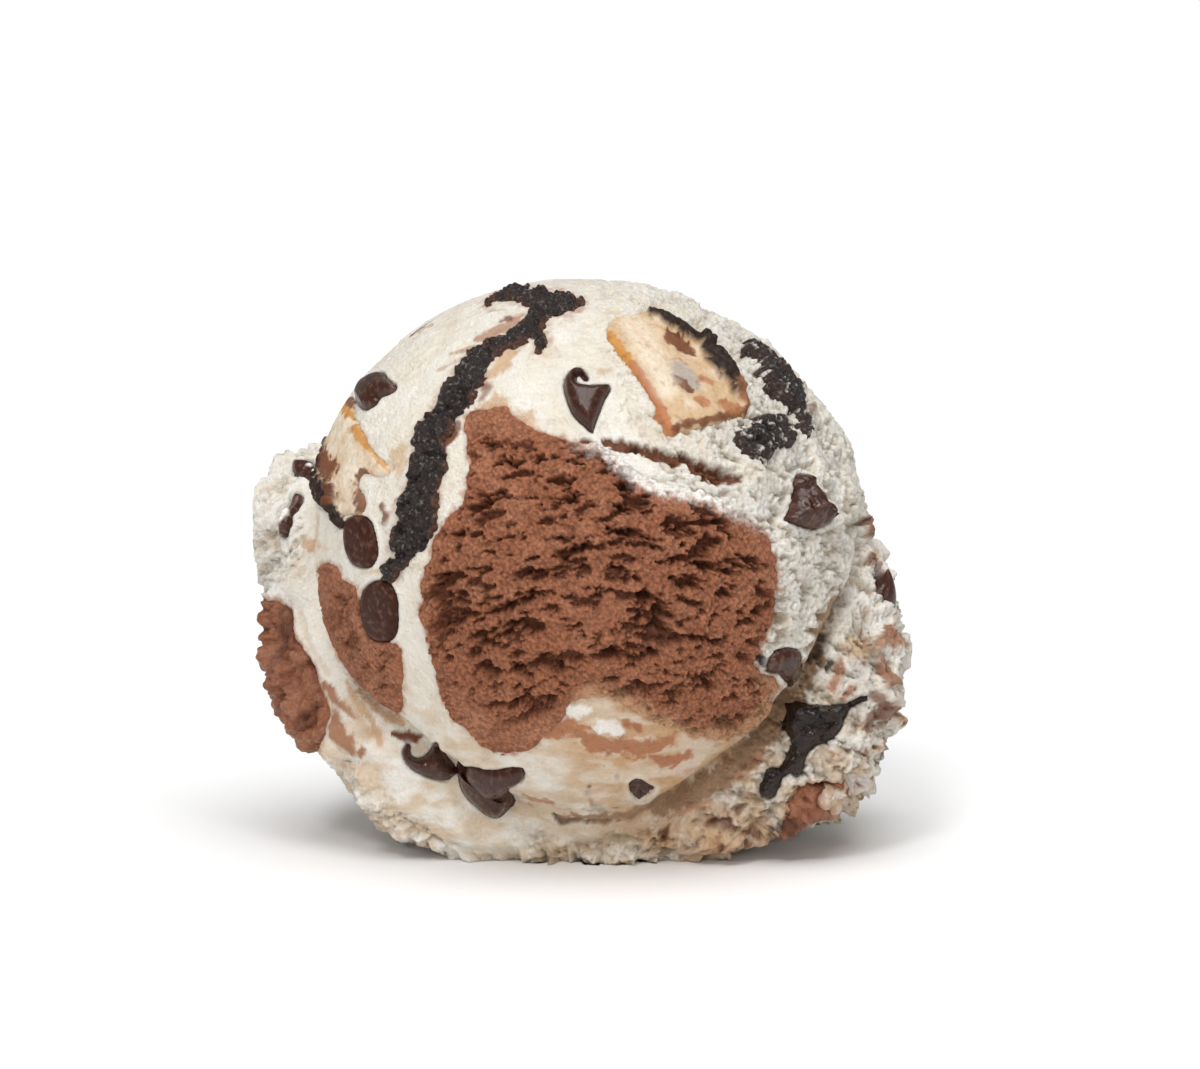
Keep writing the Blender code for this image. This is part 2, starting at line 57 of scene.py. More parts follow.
# The scoop's form, in millimetres and degrees, as in the part's source
BALL_RADIUS = 33.6
BALL_HEIGHT = 35.0
BACK_RADIUS = 29.5
FOOT_RADIUS = 41.5
EYE_DISTANCE = 407.0
EYE_RISE = math.radians(7.0)
EDGE_WRAP = 0.12
TOWARDS = np.array([0.0, -math.cos(EYE_RISE), math.sin(EYE_RISE)])
UPWARDS = np.array([0.0, math.sin(EYE_RISE), math.cos(EYE_RISE)])
RIGHT = np.array([1.0, 0.0, 0.0])
CENTRE = np.array([0.0, 0.0, BALL_HEIGHT])
BALL_EDGE = [
    (0, 33.5), (50, 33.0), (90, 33.6), (125, 34.8), (150, 35.5), (190, 34.4), (240, 33.6), (310, 33.4),
]
COLLAR_REACH = [
    (5, 0.8), (150, 0.2), (157, 0.6), (163, 7.4), (172, 8.2), (181, 6.6), (187, 6.4), (198, 7.8), (210, 8.8),
    (218, 6.4), (230, 7.8), (242, 8.6), (270, 7.0), (292, 6.6), (312, 8.9), (324, 10.4), (336, 7.2),
    (343, 7.8), (349, 3.0), (357, 3.4),
]
GROOVE_ANGLE = [
    (0, 74), (20, 92), (160, 92), (172, 80), (190, 82), (206, 76), (220, 65), (243, 65), (264, 70), (282, 68),
    (297, 61), (330, 60), (345, 62),
]
GROOVE_DEPTH = 1.5
GROOVE_WIDTH = 4.0
COLLAR_RISE = 11.0
COLLAR_END = 104.0
COLLAR_END_LOW = 16.0
COLLAR_FALL = 42.0
BACK_SPAN = (88.0, 172.0)
FOOT_SPAN = (62.0, 78.0)
LUMP_SIZE = 8.5
LUMP_HEIGHT = 4.4
CRAG_SIZE = 4.4
CRAG_HEIGHT = 2.2

SIDES = ("front", "back")
REACH = 3.0  # how far from an inlay's edge its distance is worked out, in millimetres

# The picture, in millimetres
LENS_LENGTH = 100.0
SENSOR_WIDTH = 36.0
PICTURE_RIGHT = 0.85  # how far the picture's middle lies to the right of the ball's
PICTURE_UP = 2.5

# The studio: the light from all round, and each lamp's name, strength, spread in degrees and direction
SKY_LIGHT = 0.24
LAMPS = [
    ("key", 2.0, 50.0, (-0.06, 0.25, -1.0)),
    ("fill", 0.93, 46.0, (0.30, 0.9, -0.15)),
    ("glint", 0.8, 12.0, (0.25, 0.65, -0.75)),
    ("glint_right", 0.3, 9.0, (-0.45, 0.6, -0.3)),
]
FLOOR_HALF = 8.0  # in metres
FLOOR_LEVEL = -0.05  # in millimetres
FLOOR_WHITE = (0.93, 0.93, 0.93, 1.0)

# Outlines as the eye sees them, in millimetres to the right of the ball's centre and above it
CHOCOLATE_FRONT = [
    (-14.8, 17.2), (-10.2, 17.4), (-7.0, 14.8), (-1.6, 13.8), (2.3, 12.6), (6.8, 9.2), (12.8, 7.6),
    (18.2, 5.2), (21.5, 1.2), (22.4, -4.2), (21.0, -10.2), (19.6, -13.4), (22.6, -16.0), (18.4, -21.6),
    (12.8, -22.0), (7.4, -20.0), (2.0, -17.4), (-2.5, -17.4), (-4.6, -20.6), (-9.4, -24.0), (-13.8, -22.6),
    (-17.2, -19.2), (-19.3, -13.2), (-20.8, -6.6), (-19.9, -0.6), (-18.0, 3.6), (-15.6, 7.0), (-15.2, 12.0),
]
CHOCOLATE_LEFT = [
    (-33.3, -1.2), (-31.5, -1.6), (-30.9, -3.2), (-28.9, -4.6), (-28.2, -8.6), (-26.4, -10.4), (-23.9, -11.3),
    (-23.6, -14.0), (-23.5, -16.6), (-23.6, -18.9), (-25.0, -18.2), (-27.3, -16.4), (-29.5, -14.4),
    (-31.3, -12.2), (-32.3, -9.5), (-33.0, -5.5),
]
CHOCOLATE_RIM_LEFT = [
    (-43.5, -6.2), (-43.3, -10.4), (-42.8, -13.6), (-42.0, -17.5), (-40.6, -21.6), (-38.6, -24.6),
    (-36.4, -25.6), (-34.2, -24.2), (-33.3, -22.9), (-32.9, -21.6), (-32.6, -19.8), (-33.0, -18.0),
    (-34.2, -15.7), (-35.3, -13.5), (-36.9, -11.3), (-38.0, -9.9), (-38.4, -8.0), (-38.9, -6.4),
]
CHOCOLATE_RIM_RIGHT = [
    (23.0, -34.6), (23.2, -33.1), (23.8, -31.1), (24.5, -29.6), (25.6, -28.5), (27.4, -28.0), (30.7, -27.8),
    (30.8, -28.3), (29.1, -28.6), (27.8, -29.4), (27.4, -30.3), (28.1, -30.9), (29.4, -31.3), (30.6, -31.5),
    (30.5, -32.1), (28.9, -32.4), (27.4, -32.0), (26.5, -32.4), (26.0, -33.4), (24.9, -34.3), (23.9, -34.9),
]
FUDGE_RIM = [
    (23.3, -20.3), (23.9, -19.0), (25.8, -18.4), (28.9, -18.3), (30.8, -18.0), (32.0, -17.4), (33.4, -17.2),
    (33.6, -17.9), (32.4, -18.5), (31.3, -19.1), (30.7, -20.1), (30.4, -21.3), (29.7, -22.1), (28.5, -22.8),
    (27.4, -23.4), (26.4, -24.2), (25.9, -25.5), (25.6, -26.7), (24.9, -27.2), (24.2, -26.7), (23.3, -27.5),
    (22.9, -28.3), (22.5, -29.6), (21.4, -29.9), (20.4, -29.3), (20.6, -28.3), (21.1, -27.3), (21.2, -26.2),
    (22.0, -26.0), (22.6, -26.2), (23.2, -25.3), (23.8, -24.2), (24.3, -23.0), (23.8, -22.1), (23.4, -21.2),
]
BISCUIT_RIGHT = [
    (1.6, 27.5), (2.5, 28.9), (3.7, 29.3), (5.3, 29.4), (6.9, 29.8), (9.9, 28.5), (13.9, 26.1), (16.5, 23.5),
    (18.1, 20.5), (19.1, 18.4), (18.7, 17.3), (14.6, 16.0), (10.9, 15.3), (9.9, 14.8), (8.3, 16.2),
    (6.9, 19.4), (5.3, 21.8), (3.4, 24.5), (1.7, 26.5),
]
BISCUIT_LEFT = [
    (-30.0, 19.7), (-30.6, 19.4), (-31.7, 17.1), (-33.3, 14.3), (-34.0, 11.9), (-34.6, 9.8), (-34.3, 8.4),
    (-33.3, 6.3), (-32.4, 5.9), (-31.6, 4.2), (-30.7, 3.3), (-30.5, 5.0), (-28.6, 4.7), (-27.8, 6.3),
    (-28.6, 8.4), (-28.0, 10.0), (-26.5, 9.7), (-24.9, 10.3), (-25.8, 11.5), (-27.2, 12.9), (-28.4, 15.4),
    (-29.2, 16.8), (-29.0, 18.7),
]
CHOCOLATE_BACK = [
    (-17.0, 9.0), (-11.0, 14.0), (-3.0, 13.0), (3.0, 8.0), (4.5, 1.0), (0.5, -6.0), (-6.0, -10.5),
    (-13.0, -9.0), (-18.5, -3.0),
]
BISCUIT_BACK = [(9.0, -13.4), (15.6, -11.0), (18.0, -16.4), (12.4, -20.6), (7.4, -18.4)]

# Strokes as the eye sees them, as (right, up, half width)
SWIRL = [
    (-6.3, 30.0, 1.4), (-7.4, 27.8, 1.2), (-9.3, 26.8, 1.05), (-11.1, 25.7, 1.0), (-12.6, 24.6, 1.15),
    (-14.1, 23.3, 1.5), (-15.2, 21.8, 1.75), (-15.9, 20.2, 1.85), (-17.0, 18.5, 1.8), (-18.5, 16.7, 1.6),
    (-19.6, 15.0, 1.75), (-20.2, 13.0, 1.85), (-20.1, 11.0, 1.95), (-20.5, 9.1, 1.9), (-21.5, 6.6, 2.2),
    (-21.5, 4.2, 2.4), (-22.3, 2.1, 2.0), (-23.5, -0.4, 1.0), (-24.7, -2.1, 0.85), (-25.8, -4.2, 0.5),
    (-26.3, -5.5, 0.25),
]
SWIRL_HEAD = [
    (-12.6, 30.8, 0.3), (-12.0, 31.3, 0.45), (-10.4, 31.9, 0.75), (-8.1, 32.0, 1.1), (-6.3, 31.3, 1.4),
]
SWIRL_LOBE = [(-5.6, 30.8, 1.3), (-4.8, 30.7, 1.3), (-3.0, 30.6, 0.8), (-1.6, 30.9, 0.2)]
SWIRL_TAIL = [(-6.9, 27.2, 0.5), (-6.3, 25.9, 0.55), (-6.1, 25.1, 0.4)]
SWIRL_BACK = [(5.6, 22.4, 0.9), (9.4, 18.4, 1.9), (11.6, 12.6, 2.2), (12.2, 6.0, 1.7), (14.6, 0.2, 1.0)]
CRUMB_STRIP = [
    (18.6, 25.7, 0.45), (20.2, 24.7, 0.7), (21.3, 23.1, 0.85), (22.7, 21.4, 0.95), (23.9, 19.6, 1.05),
    (24.8, 18.2, 0.95), (25.8, 16.1, 0.55), (26.5, 14.9, 0.25),
]
CRUMB_LUMP = [
    (17.6, 13.5), (17.9, 14.7), (19.3, 15.6), (20.2, 16.6), (22.0, 16.7), (23.4, 16.1), (23.9, 14.9),
    (24.6, 14.2), (23.9, 13.5), (22.5, 13.1), (21.6, 12.1), (19.0, 11.9), (18.3, 12.6),
]
CALM_CHOCOLATE = [
    [(-16.0, -17.0, 1.2), (-12.5, -21.5, 1.8), (-8.0, -22.3, 2.2), (-5.0, -20.0, 1.2), (0.5, -18.2, 0.8)],
    [(-14.8, 16.6, 2.0), (-9.0, 15.6, 1.6)],
]

# Chips seen lying in the surface: outline, how far they rise, radius of their edge, bloom
CHIP_SHAPES = {
    "chip_curl": ([
        (-0.6, 21.9), (-0.5, 21.2), (-1.1, 21.2), (-1.5, 21.7), (-1.9, 21.7), (-2.0, 21.2), (-1.5, 20.8),
        (-0.4, 20.7), (0.9, 20.8), (2.1, 20.7), (2.2, 20.1), (1.5, 18.9), (0.9, 17.4), (0.2, 15.6),
        (-0.1, 14.8), (-1.1, 15.6), (-2.5, 17.0), (-3.3, 18.9), (-3.7, 20.7), (-3.3, 21.9), (-2.4, 22.7),
        (-1.3, 22.7),
    ], 1.5, 1.5, 0.0),
    "chip_horn": ([
        (-22.6, -23.0), (-22.3, -23.3), (-22.4, -24.0), (-22.0, -24.6), (-21.5, -24.8), (-20.7, -24.6),
        (-20.0, -24.0), (-19.6, -23.3), (-19.3, -22.7), (-18.9, -23.0), (-18.5, -24.2), (-17.7, -25.1),
        (-17.0, -25.8), (-16.6, -26.6), (-17.2, -27.1), (-17.7, -27.5), (-18.6, -27.6), (-20.2, -27.2),
        (-21.5, -26.6), (-22.6, -25.8), (-23.2, -24.9), (-23.3, -24.0), (-23.0, -23.3),
    ], 1.4, 1.4, 0.05),
    "chip_nub": ([
        (-16.2, -26.9), (-16.2, -26.1), (-15.4, -25.8), (-14.2, -25.9), (-13.1, -26.2), (-11.8, -26.2),
        (-10.7, -26.0), (-9.4, -25.9), (-8.6, -26.0), (-8.3, -26.8), (-8.6, -27.5), (-9.4, -28.1),
        (-10.2, -28.4), (-10.4, -29.5), (-10.7, -30.6), (-11.2, -31.6), (-11.8, -32.0), (-12.7, -31.8),
        (-14.0, -30.9), (-15.3, -29.6), (-16.0, -28.4),
    ], 1.8, 2.2, 0.05),
    "chip_disc_upper": ([
        (-30.3, 4.3), (-28.7, 4.9), (-27.2, 4.3), (-26.5, 2.4), (-26.2, 0.3), (-26.8, -1.3), (-27.8, -1.7),
        (-29.3, -1.3), (-30.3, 0.3), (-30.6, 2.4),
    ], 0.45, 0.8, 0.12),
    "chip_disc_lower": ([
        (-28.6, -6.3), (-28.2, -4.3), (-26.8, -3.1), (-25.0, -3.2), (-23.9, -5.0), (-23.7, -7.2),
        (-23.9, -9.5), (-24.8, -10.6), (-26.4, -10.7), (-27.7, -9.9), (-28.5, -8.1),
    ], 0.4, 0.8, 0.12),
    "chip_shoulder": ([
        (-29.0, 19.9), (-28.4, 21.2), (-27.0, 22.1), (-25.6, 22.3), (-25.1, 21.6), (-23.9, 20.6),
        (-23.9, 20.1), (-24.7, 19.6), (-25.8, 19.1), (-26.5, 18.2), (-27.7, 17.6), (-28.6, 18.2),
        (-29.0, 19.1),
    ], 1.2, 1.4, 0.1),
    "chip_cone": ([
        (24.4, 8.5), (24.7, 9.6), (25.3, 9.9), (26.2, 9.6), (27.1, 8.0), (28.0, 6.7), (29.4, 4.9),
        (28.9, 4.0), (27.5, 3.1), (25.6, 3.4), (23.5, 4.2), (23.8, 5.2), (24.3, 6.7), (24.7, 8.0),
    ], 2.4, 2.3, 0.15),
    "chip_pit": ([
        (4.3, -28.1), (4.8, -27.4), (5.7, -27.3), (6.7, -27.9), (7.6, -28.4), (7.2, -29.2), (6.1, -29.9),
        (5.2, -29.8), (4.5, -29.0),
    ], 0.2, 0.9, 0.1),
    "chip_low_right": ([
        (21.0, -14.2), (21.2, -13.0), (22.3, -11.8), (23.9, -11.3), (25.4, -11.8), (25.7, -13.0),
        (25.2, -14.5), (24.3, -16.1), (23.5, -15.5), (22.7, -14.7), (21.8, -14.5),
    ], 0.7, 1.2, 0.1),
    "chip_rim_top": ([
        (-39.1, 11.5), (-38.7, 12.1), (-37.1, 12.4), (-36.0, 11.8), (-35.1, 10.7), (-35.6, 9.3), (-36.9, 9.9),
        (-38.5, 10.3),
    ], 0.8, 1.0, 0.1),
    "chip_rim_cream": ([
        (-38.2, 8.2), (-36.9, 7.7), (-36.9, 6.2), (-37.8, 5.1), (-38.0, 3.7), (-38.7, 2.2), (-39.6, 2.4),
        (-39.9, 4.4), (-39.6, 6.0), (-38.7, 6.4),
    ], 0.5, 0.9, 0.2),
}

# Whole chips at the edge of the eye's view and behind: name, right, up, side, base diameter, height,
# lean from straight out, clock angle of the tip, and depth of its middle
DROPS = [
    ("chip_edge_right", 36.6, -4.2, "front", 4.8, 4.6, 60, 80, 0.4),
    ("chip_back_upper", -9.0, 24.0, "back", 6.4, 6.2, 80, 200, 0.7),
    ("chip_back_left", -26.0, 8.0, "back", 7.0, 5.0, 165, 20, 1.2),
    ("chip_back_right", 22.0, 10.0, "back", 6.6, 6.8, 70, 60, 0.6),
    ("chip_back_low", -8.0, -19.5, "back", 7.0, 6.6, 78, 320, 0.9),
    ("chip_back_rim", 27.5, -15.0, "back", 6.2, 5.6, 60, 190, 0.5),
]

# A whole chip's outline from its tip to the middle of its base, as shares of its half width and its height
DROP_PROFILE = [(0.0, 0.5), (0.12, 0.45), (0.36, 0.22), (0.74, -0.1), (1.0, -0.36), (0.9, -0.5), (0.0, -0.5)]
DROP_RINGS = 30
DROP_SIDES = 40

# How the surfaces meet, in millimetres
INLAY_DIP = 1.9  # how far the ice cream dips under an inlay
CHIP_DIP = 1.5  # the same under a chip seen lying in it
DROP_DIP = 1.6  # the same under a whole chip
CHIP_DIP_IN_INLAY = 1.4  # how far an inlay dips under a chip
EDGE_DIP = 1.5  # how far an inlay's edge dips under the ice cream
MILK_RIM = 0.14  # height of the milk risen round a chip
HANG = 0.35  # how far lumps hang down
TIP_BEND = 0.75  # how far a whole chip's tip bends over, as a share of its diameter
FOOT_RING = 22.0  # radius of the ring on which the undercut foot's bays are drawn
UNDERCUT = 0.14  # how deep those bays are, as a share of the distance from the middle

# Fineness of the meshes, in millimetres where nothing else is said
BODY_GRID = 205  # quads along each side of the cube that the ice cream's surface is drawn on
FRONT_SHARE = 0.25  # how far the quads are gathered towards the eye
STEEP_SHARE = 0.2  # within how many radians of the groove they are gathered
BALL_END = -1.0  # degrees from the groove at which the ball's surface gives way to the collar's
FRONT_END = 108.0  # degrees from the eye's line at which the surface is the back's
PATCH_MARGIN = 0.9  # how far an inlay runs on under the ice cream round it
EDGE_WANDER = 1.2  # how far an inlay's ragged edge may lie off its outline
GRID_MARGIN = 2.5  # how far an inlay's flat grid runs on past its outline
HIDDEN_DEPTH = 2.6  # how far inside a large patch the ice cream under it is left out
LINE_STEP = 1.0  # length of an outline's short straight pieces
CHIP_LINE_STEP = 0.4
SLOPE_STEP = 0.01  # step at which the plain form's slope is measured, as a share of its radius
CHOCOLATE_STEP = 0.165  # side of an inlay's quads
CRUMB_STEP = 0.17
BISCUIT_STEP = 0.15
CHIP_STEP = 0.12
BACK_STEP = 0.24
RIM_STEP = 0.2

# Colours, as scene-linear values
CREAM = np.array([0.86, 0.805, 0.70])
MILK = np.array([0.92, 0.895, 0.85])
STAIN = np.array([0.46, 0.19, 0.09])
SMEAR = np.array([0.50, 0.27, 0.17])
CARAMEL = np.array([0.64, 0.41, 0.23])
SYRUP = np.array([0.34, 0.165, 0.088])
BROWN = np.array([0.20, 0.075, 0.038])
COCOA = np.array([0.030, 0.016, 0.012])
TAN = np.array([0.70, 0.53, 0.36])
GOLD = np.array([0.55, 0.27, 0.07])
# tan stain in the right groove, darkened as painted shade of its valley
GROOVE_STAIN_AND_SHADE = np.array([0.36, 0.225, 0.135])
OLIVE = np.array([0.60, 0.50, 0.31])
GREY = np.array([0.36, 0.33, 0.31])
CHOCOLATE = np.array([0.275, 0.10, 0.048])
# painted shade for the chocolate's pits and the hollows between its lumps
CHOCOLATE_HOLLOW_SHADE = np.array([0.11, 0.034, 0.015])
CHOCOLATE_PALE = np.array([0.40, 0.185, 0.105])
COOKIE = np.array([0.024, 0.017, 0.015])
BISCUIT = np.array([0.60, 0.43, 0.27])
BAKED = np.array([0.17, 0.055, 0.022])
CHIP = np.array([0.044, 0.014, 0.008])
BLOOM = np.array([0.22, 0.115, 0.08])

# Marks as the eye sees them, stains and some painted shade: colour, strength, how far they stand out, and the
# stroke as above
VANILLA_MARKS = [
    (CARAMEL, 0.8, 0, [(-34.8, 3.0, 0.18), (-34.8, 0.8, 0.18), (-34.7, -1.9, 0.12)]),
    (CARAMEL, 0.8, 0, [(-33.5, -8.6, 0.12), (-32.6, -10.4, 0.3), (-31.8, -12.6, 0.24), (-30.9, -13.5, 0.18)]),
    # painted shade: pale tan along the valley of the left groove
    (TAN, 0.45, -0.2, [(-37.1, -7.2, 0.27), (-36.2, -9.9, 0.36), (-34.7, -12.6, 0.4), (-32.9, -14.8, 0.31)]),
    (CARAMEL, 0.8, 0, [
        (-30.4, -15.5, 0.24), (-28.9, -18.0, 0.42), (-27.3, -19.8, 0.42), (-26.4, -21.6, 0.42),
        (-26.0, -23.1, 0.24),
    ]),
    (CARAMEL, 0.8, 0, [
        (-28.6, -16.6, 0.24), (-26.4, -18.9, 0.36), (-24.6, -20.0, 0.49), (-23.3, -20.7, 0.24),
    ]),
    (CHOCOLATE_PALE, 0.95, 0.2, [
        (-33.3, -16.0, 0.27), (-32.4, -16.9, 0.54), (-31.3, -18.2, 0.4), (-30.0, -19.1, 0.22),
        (-29.1, -20.0, 0.13),
    ]),
    (CHOCOLATE_PALE, 0.95, 0.25, [
        (-31.5, -20.0, 0.63), (-31.0, -21.8, 1.07), (-30.2, -22.9, 0.81), (-29.1, -24.0, 0.36),
        (-28.2, -24.3, 0.18),
    ]),
    (CARAMEL, 0.8, 0.1, [(-36.0, 1.5, 0.63), (-35.3, 1.0, 0.72)]),
    (CARAMEL, 0.5, 0, [(-30.4, -18.0, 0.36), (-28.6, -19.8, 0.54), (-26.8, -22.0, 0.36)]),
    (BAKED, 1.0, 0.35, [(-24.3, -21.9, 0.3), (-23.0, -22.1, 0.6), (-21.7, -22.5, 0.55)]),
    (COCOA, 1.0, 0.4, [(19.9, -12.3, 0.4), (20.8, -13.1, 0.5), (21.6, -13.7, 0.4)]),
    (STAIN, 0.8, 0, [(-8.5, -29.3, 0.11), (-7.4, -29.8, 0.2), (-6.1, -30.0, 0.22), (-4.9, -30.4, 0.18)]),
    (STAIN, 0.5, 0, [(-7.9, -30.4, 0.18), (-7.4, -30.8, 0.18)]),
    (COCOA, 0.85, -0.5, [
        (-4.7, -32.0, 0.26), (-4.0, -32.7, 0.31), (-2.1, -32.5, 0.22), (-0.2, -32.6, 0.15),
        (3.3, -32.6, 0.11),
    ]),
    (GREY, 0.6, 0, [(0.1, -30.7, 0.39), (1.3, -31.4, 0.34)]),
    (COCOA, 0.8, 0, [(-0.5, -28.3, 0.17), (-0.4, -28.4, 0.12)]),
    (GREY, 0.7, 0, [(2.9, -27.0, 0.22), (3.0, -27.2, 0.15)]),
    (GREY, 0.6, 0, [(-0.7, -29.0, 0.29), (-0.4, -29.2, 0.24)]),
    (STAIN, 0.7, 0, [(-0.4, -29.8, 0.29), (-0.2, -30.3, 0.24)]),
    (STAIN, 0.95, 0.1, [
        (-5.0, -20.9, 1.32), (-2.6, -21.0, 0.85), (-0.9, -22.0, 0.66), (0.6, -23.1, 1.05), (2.3, -23.1, 0.92),
        (4.3, -23.5, 0.85), (6.2, -23.5, 0.8), (7.7, -23.1, 0.66), (9.6, -22.6, 0.5),
    ]),
    (STAIN, 0.95, 0, [(7.0, -24.5, 0.32), (8.7, -25.4, 0.66), (10.1, -25.0, 0.66), (11.6, -24.4, 0.46)]),
    (STAIN, 0.95, 0, [(4.0, -20.6, 0.66), (5.2, -20.9, 0.53)]),
    (STAIN, 0.4, 0, [(11.6, -26.5, 0.39), (12.6, -26.1, 0.34)]),
    (OLIVE, 0.5, -0.1, [(-1.8, -16.8, 0.59), (-0.9, -17.2, 0.49)]),
    (OLIVE, 0.5, -0.1, [(0.9, -19.5, 0.44), (3.0, -20.1, 0.34)]),
    (OLIVE, 0.5, 0, [(12.8, -24.0, 0.29), (14.5, -24.2, 0.39)]),
    (OLIVE, 0.4, 0, [(-6.8, -23.3, 0.4), (-5.2, -23.8, 0.44)]),
    (MILK, 0.9, 0.2, [(-3.0, -18.9, 0.54), (-1.6, -19.2, 0.73), (-0.4, -18.9, 0.37)]),
    (MILK, 0.9, 0.2, [(1.1, -20.9, 0.73), (2.8, -21.2, 0.83), (3.8, -21.6, 0.24)]),
    # the right groove's band: tan stain and painted shade of the valley
    (GROOVE_STAIN_AND_SHADE, 0.95, 0, [
        (24.0, -17.4, 1.02), (22.8, -19.6, 1.16), (21.3, -21.8, 1.3), (19.4, -24.0, 1.37), (17.4, -26.0, 1.3),
        (15.2, -27.4, 1.23), (12.8, -28.9, 1.16), (10.4, -30.0, 1.02), (7.7, -31.0, 0.76), (4.8, -31.7, 0.62),
        (1.8, -32.1, 0.48), (-1.6, -32.2, 0.34), (-4.0, -32.1, 0.28),
    ]),
    (SMEAR, 0.8, 0.1, [(21.1, -23.8, 0.49), (19.4, -25.7, 0.54), (17.4, -27.4, 0.34)]),
    (SMEAR, 0.8, 0.1, [(14.5, -29.9, 0.2), (11.8, -31.0, 0.34), (9.4, -32.0, 0.29)]),
    # the band running on up the right groove: tan stain and painted shade
    (GROOVE_STAIN_AND_SHADE, 0.95, 0, [
        (21.6, -21.1, 1.33), (23.8, -18.2, 1.23), (25.6, -15.3, 1.02), (27.1, -12.7, 0.92),
        (27.6, -10.5, 0.62), (28.2, -7.9, 0.52), (29.5, -5.7, 0.41), (30.4, -4.3, 0.25),
    ]),
    # painted shadow: a dark line beside the band
    (COCOA, 0.75, -0.6, [(28.4, -9.9, 0.33), (27.8, -11.6, 0.33), (26.7, -13.1, 0.22)]),
    (BROWN, 0.7, -0.2, [(30.6, -4.1, 0.18), (30.1, -4.8, 0.18)]),
    (BROWN, 0.9, 0.7, [(34.7, 4.4, 0.51), (34.4, 2.7, 0.59)]),
    (BROWN, 0.85, 0.4, [(34.2, -0.4, 0.51), (35.2, -1.5, 0.59), (35.9, -2.4, 0.33)]),
    (BROWN, 0.85, 0.3, [(34.4, -3.2, 0.44), (35.1, -3.5, 0.44)]),
    (CARAMEL, 0.6, 0, [(35.9, 0.5, 0.44), (35.7, -0.3, 0.44)]),
    (SYRUP, 0.9, 0.5, [(34.6, -11.2, 0.66), (35.9, -10.3, 0.88), (37.4, -11.2, 0.44)]),
    (SYRUP, 0.9, 0.5, [(35.3, -13.2, 0.81), (36.2, -15.3, 0.88)]),
    (CARAMEL, 0.6, 0.3, [(32.0, -11.2, 1.32), (33.3, -11.6, 1.1)]),
    (COCOA, 0.85, 0.1, [(29.1, -13.3, 0.29), (28.6, -14.0, 0.15)]),
    (STAIN, 0.8, 0, [(30.3, -12.9, 0.37), (29.9, -14.5, 0.48), (29.1, -16.2, 0.37)]),
    (STAIN, 0.8, 0, [(31.5, -16.5, 0.51), (30.4, -17.5, 0.29)]),
    (GREY, 0.45, 0, [(32.6, -13.8, 1.1), (34.0, -12.7, 0.88)]),
    (BROWN, 0.8, 0, [(34.0, -17.1, 0.51), (35.9, -18.4, 0.44)]),
    (BROWN, 0.85, 0.2, [(36.2, -19.1, 0.95), (34.2, -20.0, 0.81), (33.5, -21.3, 0.51)]),
    (GREY, 0.5, 0.2, [(32.6, -18.2, 0.73), (31.3, -20.2, 0.73)]),
    (COCOA, 0.7, 0.2, [(36.9, -23.9, 0.37), (36.1, -25.5, 0.33)]),
    (BROWN, 0.7, 0, [(33.3, -24.2, 0.33), (33.5, -25.1, 0.22)]),
    (COCOA, 0.8, 0, [(28.5, -27.3, 0.15), (27.6, -28.6, 0.18)]),
    (BROWN, 0.8, 0.1, [(14.0, -32.7, 0.34), (15.5, -32.2, 0.39), (16.5, -32.7, 0.63), (17.3, -33.2, 0.44)]),
    (BROWN, 0.8, 0.1, [(18.8, -33.9, 0.49), (20.4, -34.2, 0.34)]),
    (COCOA, 0.8, 0.3, [(21.6, -33.0, 0.34), (22.3, -32.9, 0.49), (22.9, -32.7, 0.29)]),
    (BROWN, 0.85, -0.2, [(9.3, -33.1, 0.22), (8.4, -33.9, 0.44), (8.7, -34.8, 0.34)]),
    (OLIVE, 0.6, 0, [(1.3, -34.6, 0.39), (4.0, -34.4, 0.59), (5.0, -34.8, 0.29)]),
    (BROWN, 0.6, 0, [(6.3, -36.3, 0.2), (7.1, -36.3, 0.24)]),
    (BROWN, 0.7, 0, [(18.4, -30.6, 0.2), (17.6, -31.4, 0.29)]),
    (STAIN, 0.6, 0, [(6.7, -33.8, 0.2), (7.0, -35.0, 0.2)]),
    (CARAMEL, 0.5, 0, [(10.4, -33.3, 0.73), (13.1, -33.8, 0.73), (15.0, -34.3, 0.59)]),
    (SMEAR, 0.85, 0, [
        (-8.9, 29.2, 0.3), (-9.8, 28.3, 0.52), (-11.1, 27.6, 0.59), (-13.0, 26.8, 0.41), (-14.4, 26.1, 0.18),
    ]),
    (BROWN, 0.8, 0, [(-10.2, 29.0, 0.33), (-11.2, 28.7, 0.18)]),
    (SMEAR, 0.7, 0, [(-14.1, 25.7, 0.15), (-15.9, 25.0, 0.22), (-17.4, 24.6, 0.15)]),
    (SMEAR, 0.6, 0, [(-14.4, 24.4, 0.15), (-16.6, 23.7, 0.18), (-18.9, 22.6, 0.11)]),
    (COCOA, 0.9, 0, [(-20.0, 28.9, 0.11), (-21.4, 27.9, 0.22), (-22.7, 27.1, 0.11)]),
    (SMEAR, 0.6, 0, [(-19.8, 28.3, 0.18), (-21.3, 27.5, 0.18)]),
    (CARAMEL, 0.8, 0, [(-10.2, 25.0, 0.52), (-10.9, 23.7, 0.81), (-11.8, 22.6, 0.66), (-12.4, 21.8, 0.37)]),
    (CARAMEL, 0.75, 0, [(-12.0, 18.5, 1.03), (-10.5, 18.0, 0.66)]),
    (CARAMEL, 0.7, 0, [(-8.0, 16.9, 0.81), (-7.4, 15.6, 0.66)]),
    (BROWN, 0.8, 0, [(-16.6, 15.8, 0.48), (-17.6, 14.5, 0.59), (-18.2, 13.0, 0.44)]),
    (TAN, 0.8, 0, [(-23.3, 12.8, 0.81), (-24.2, 11.1, 0.74)]),
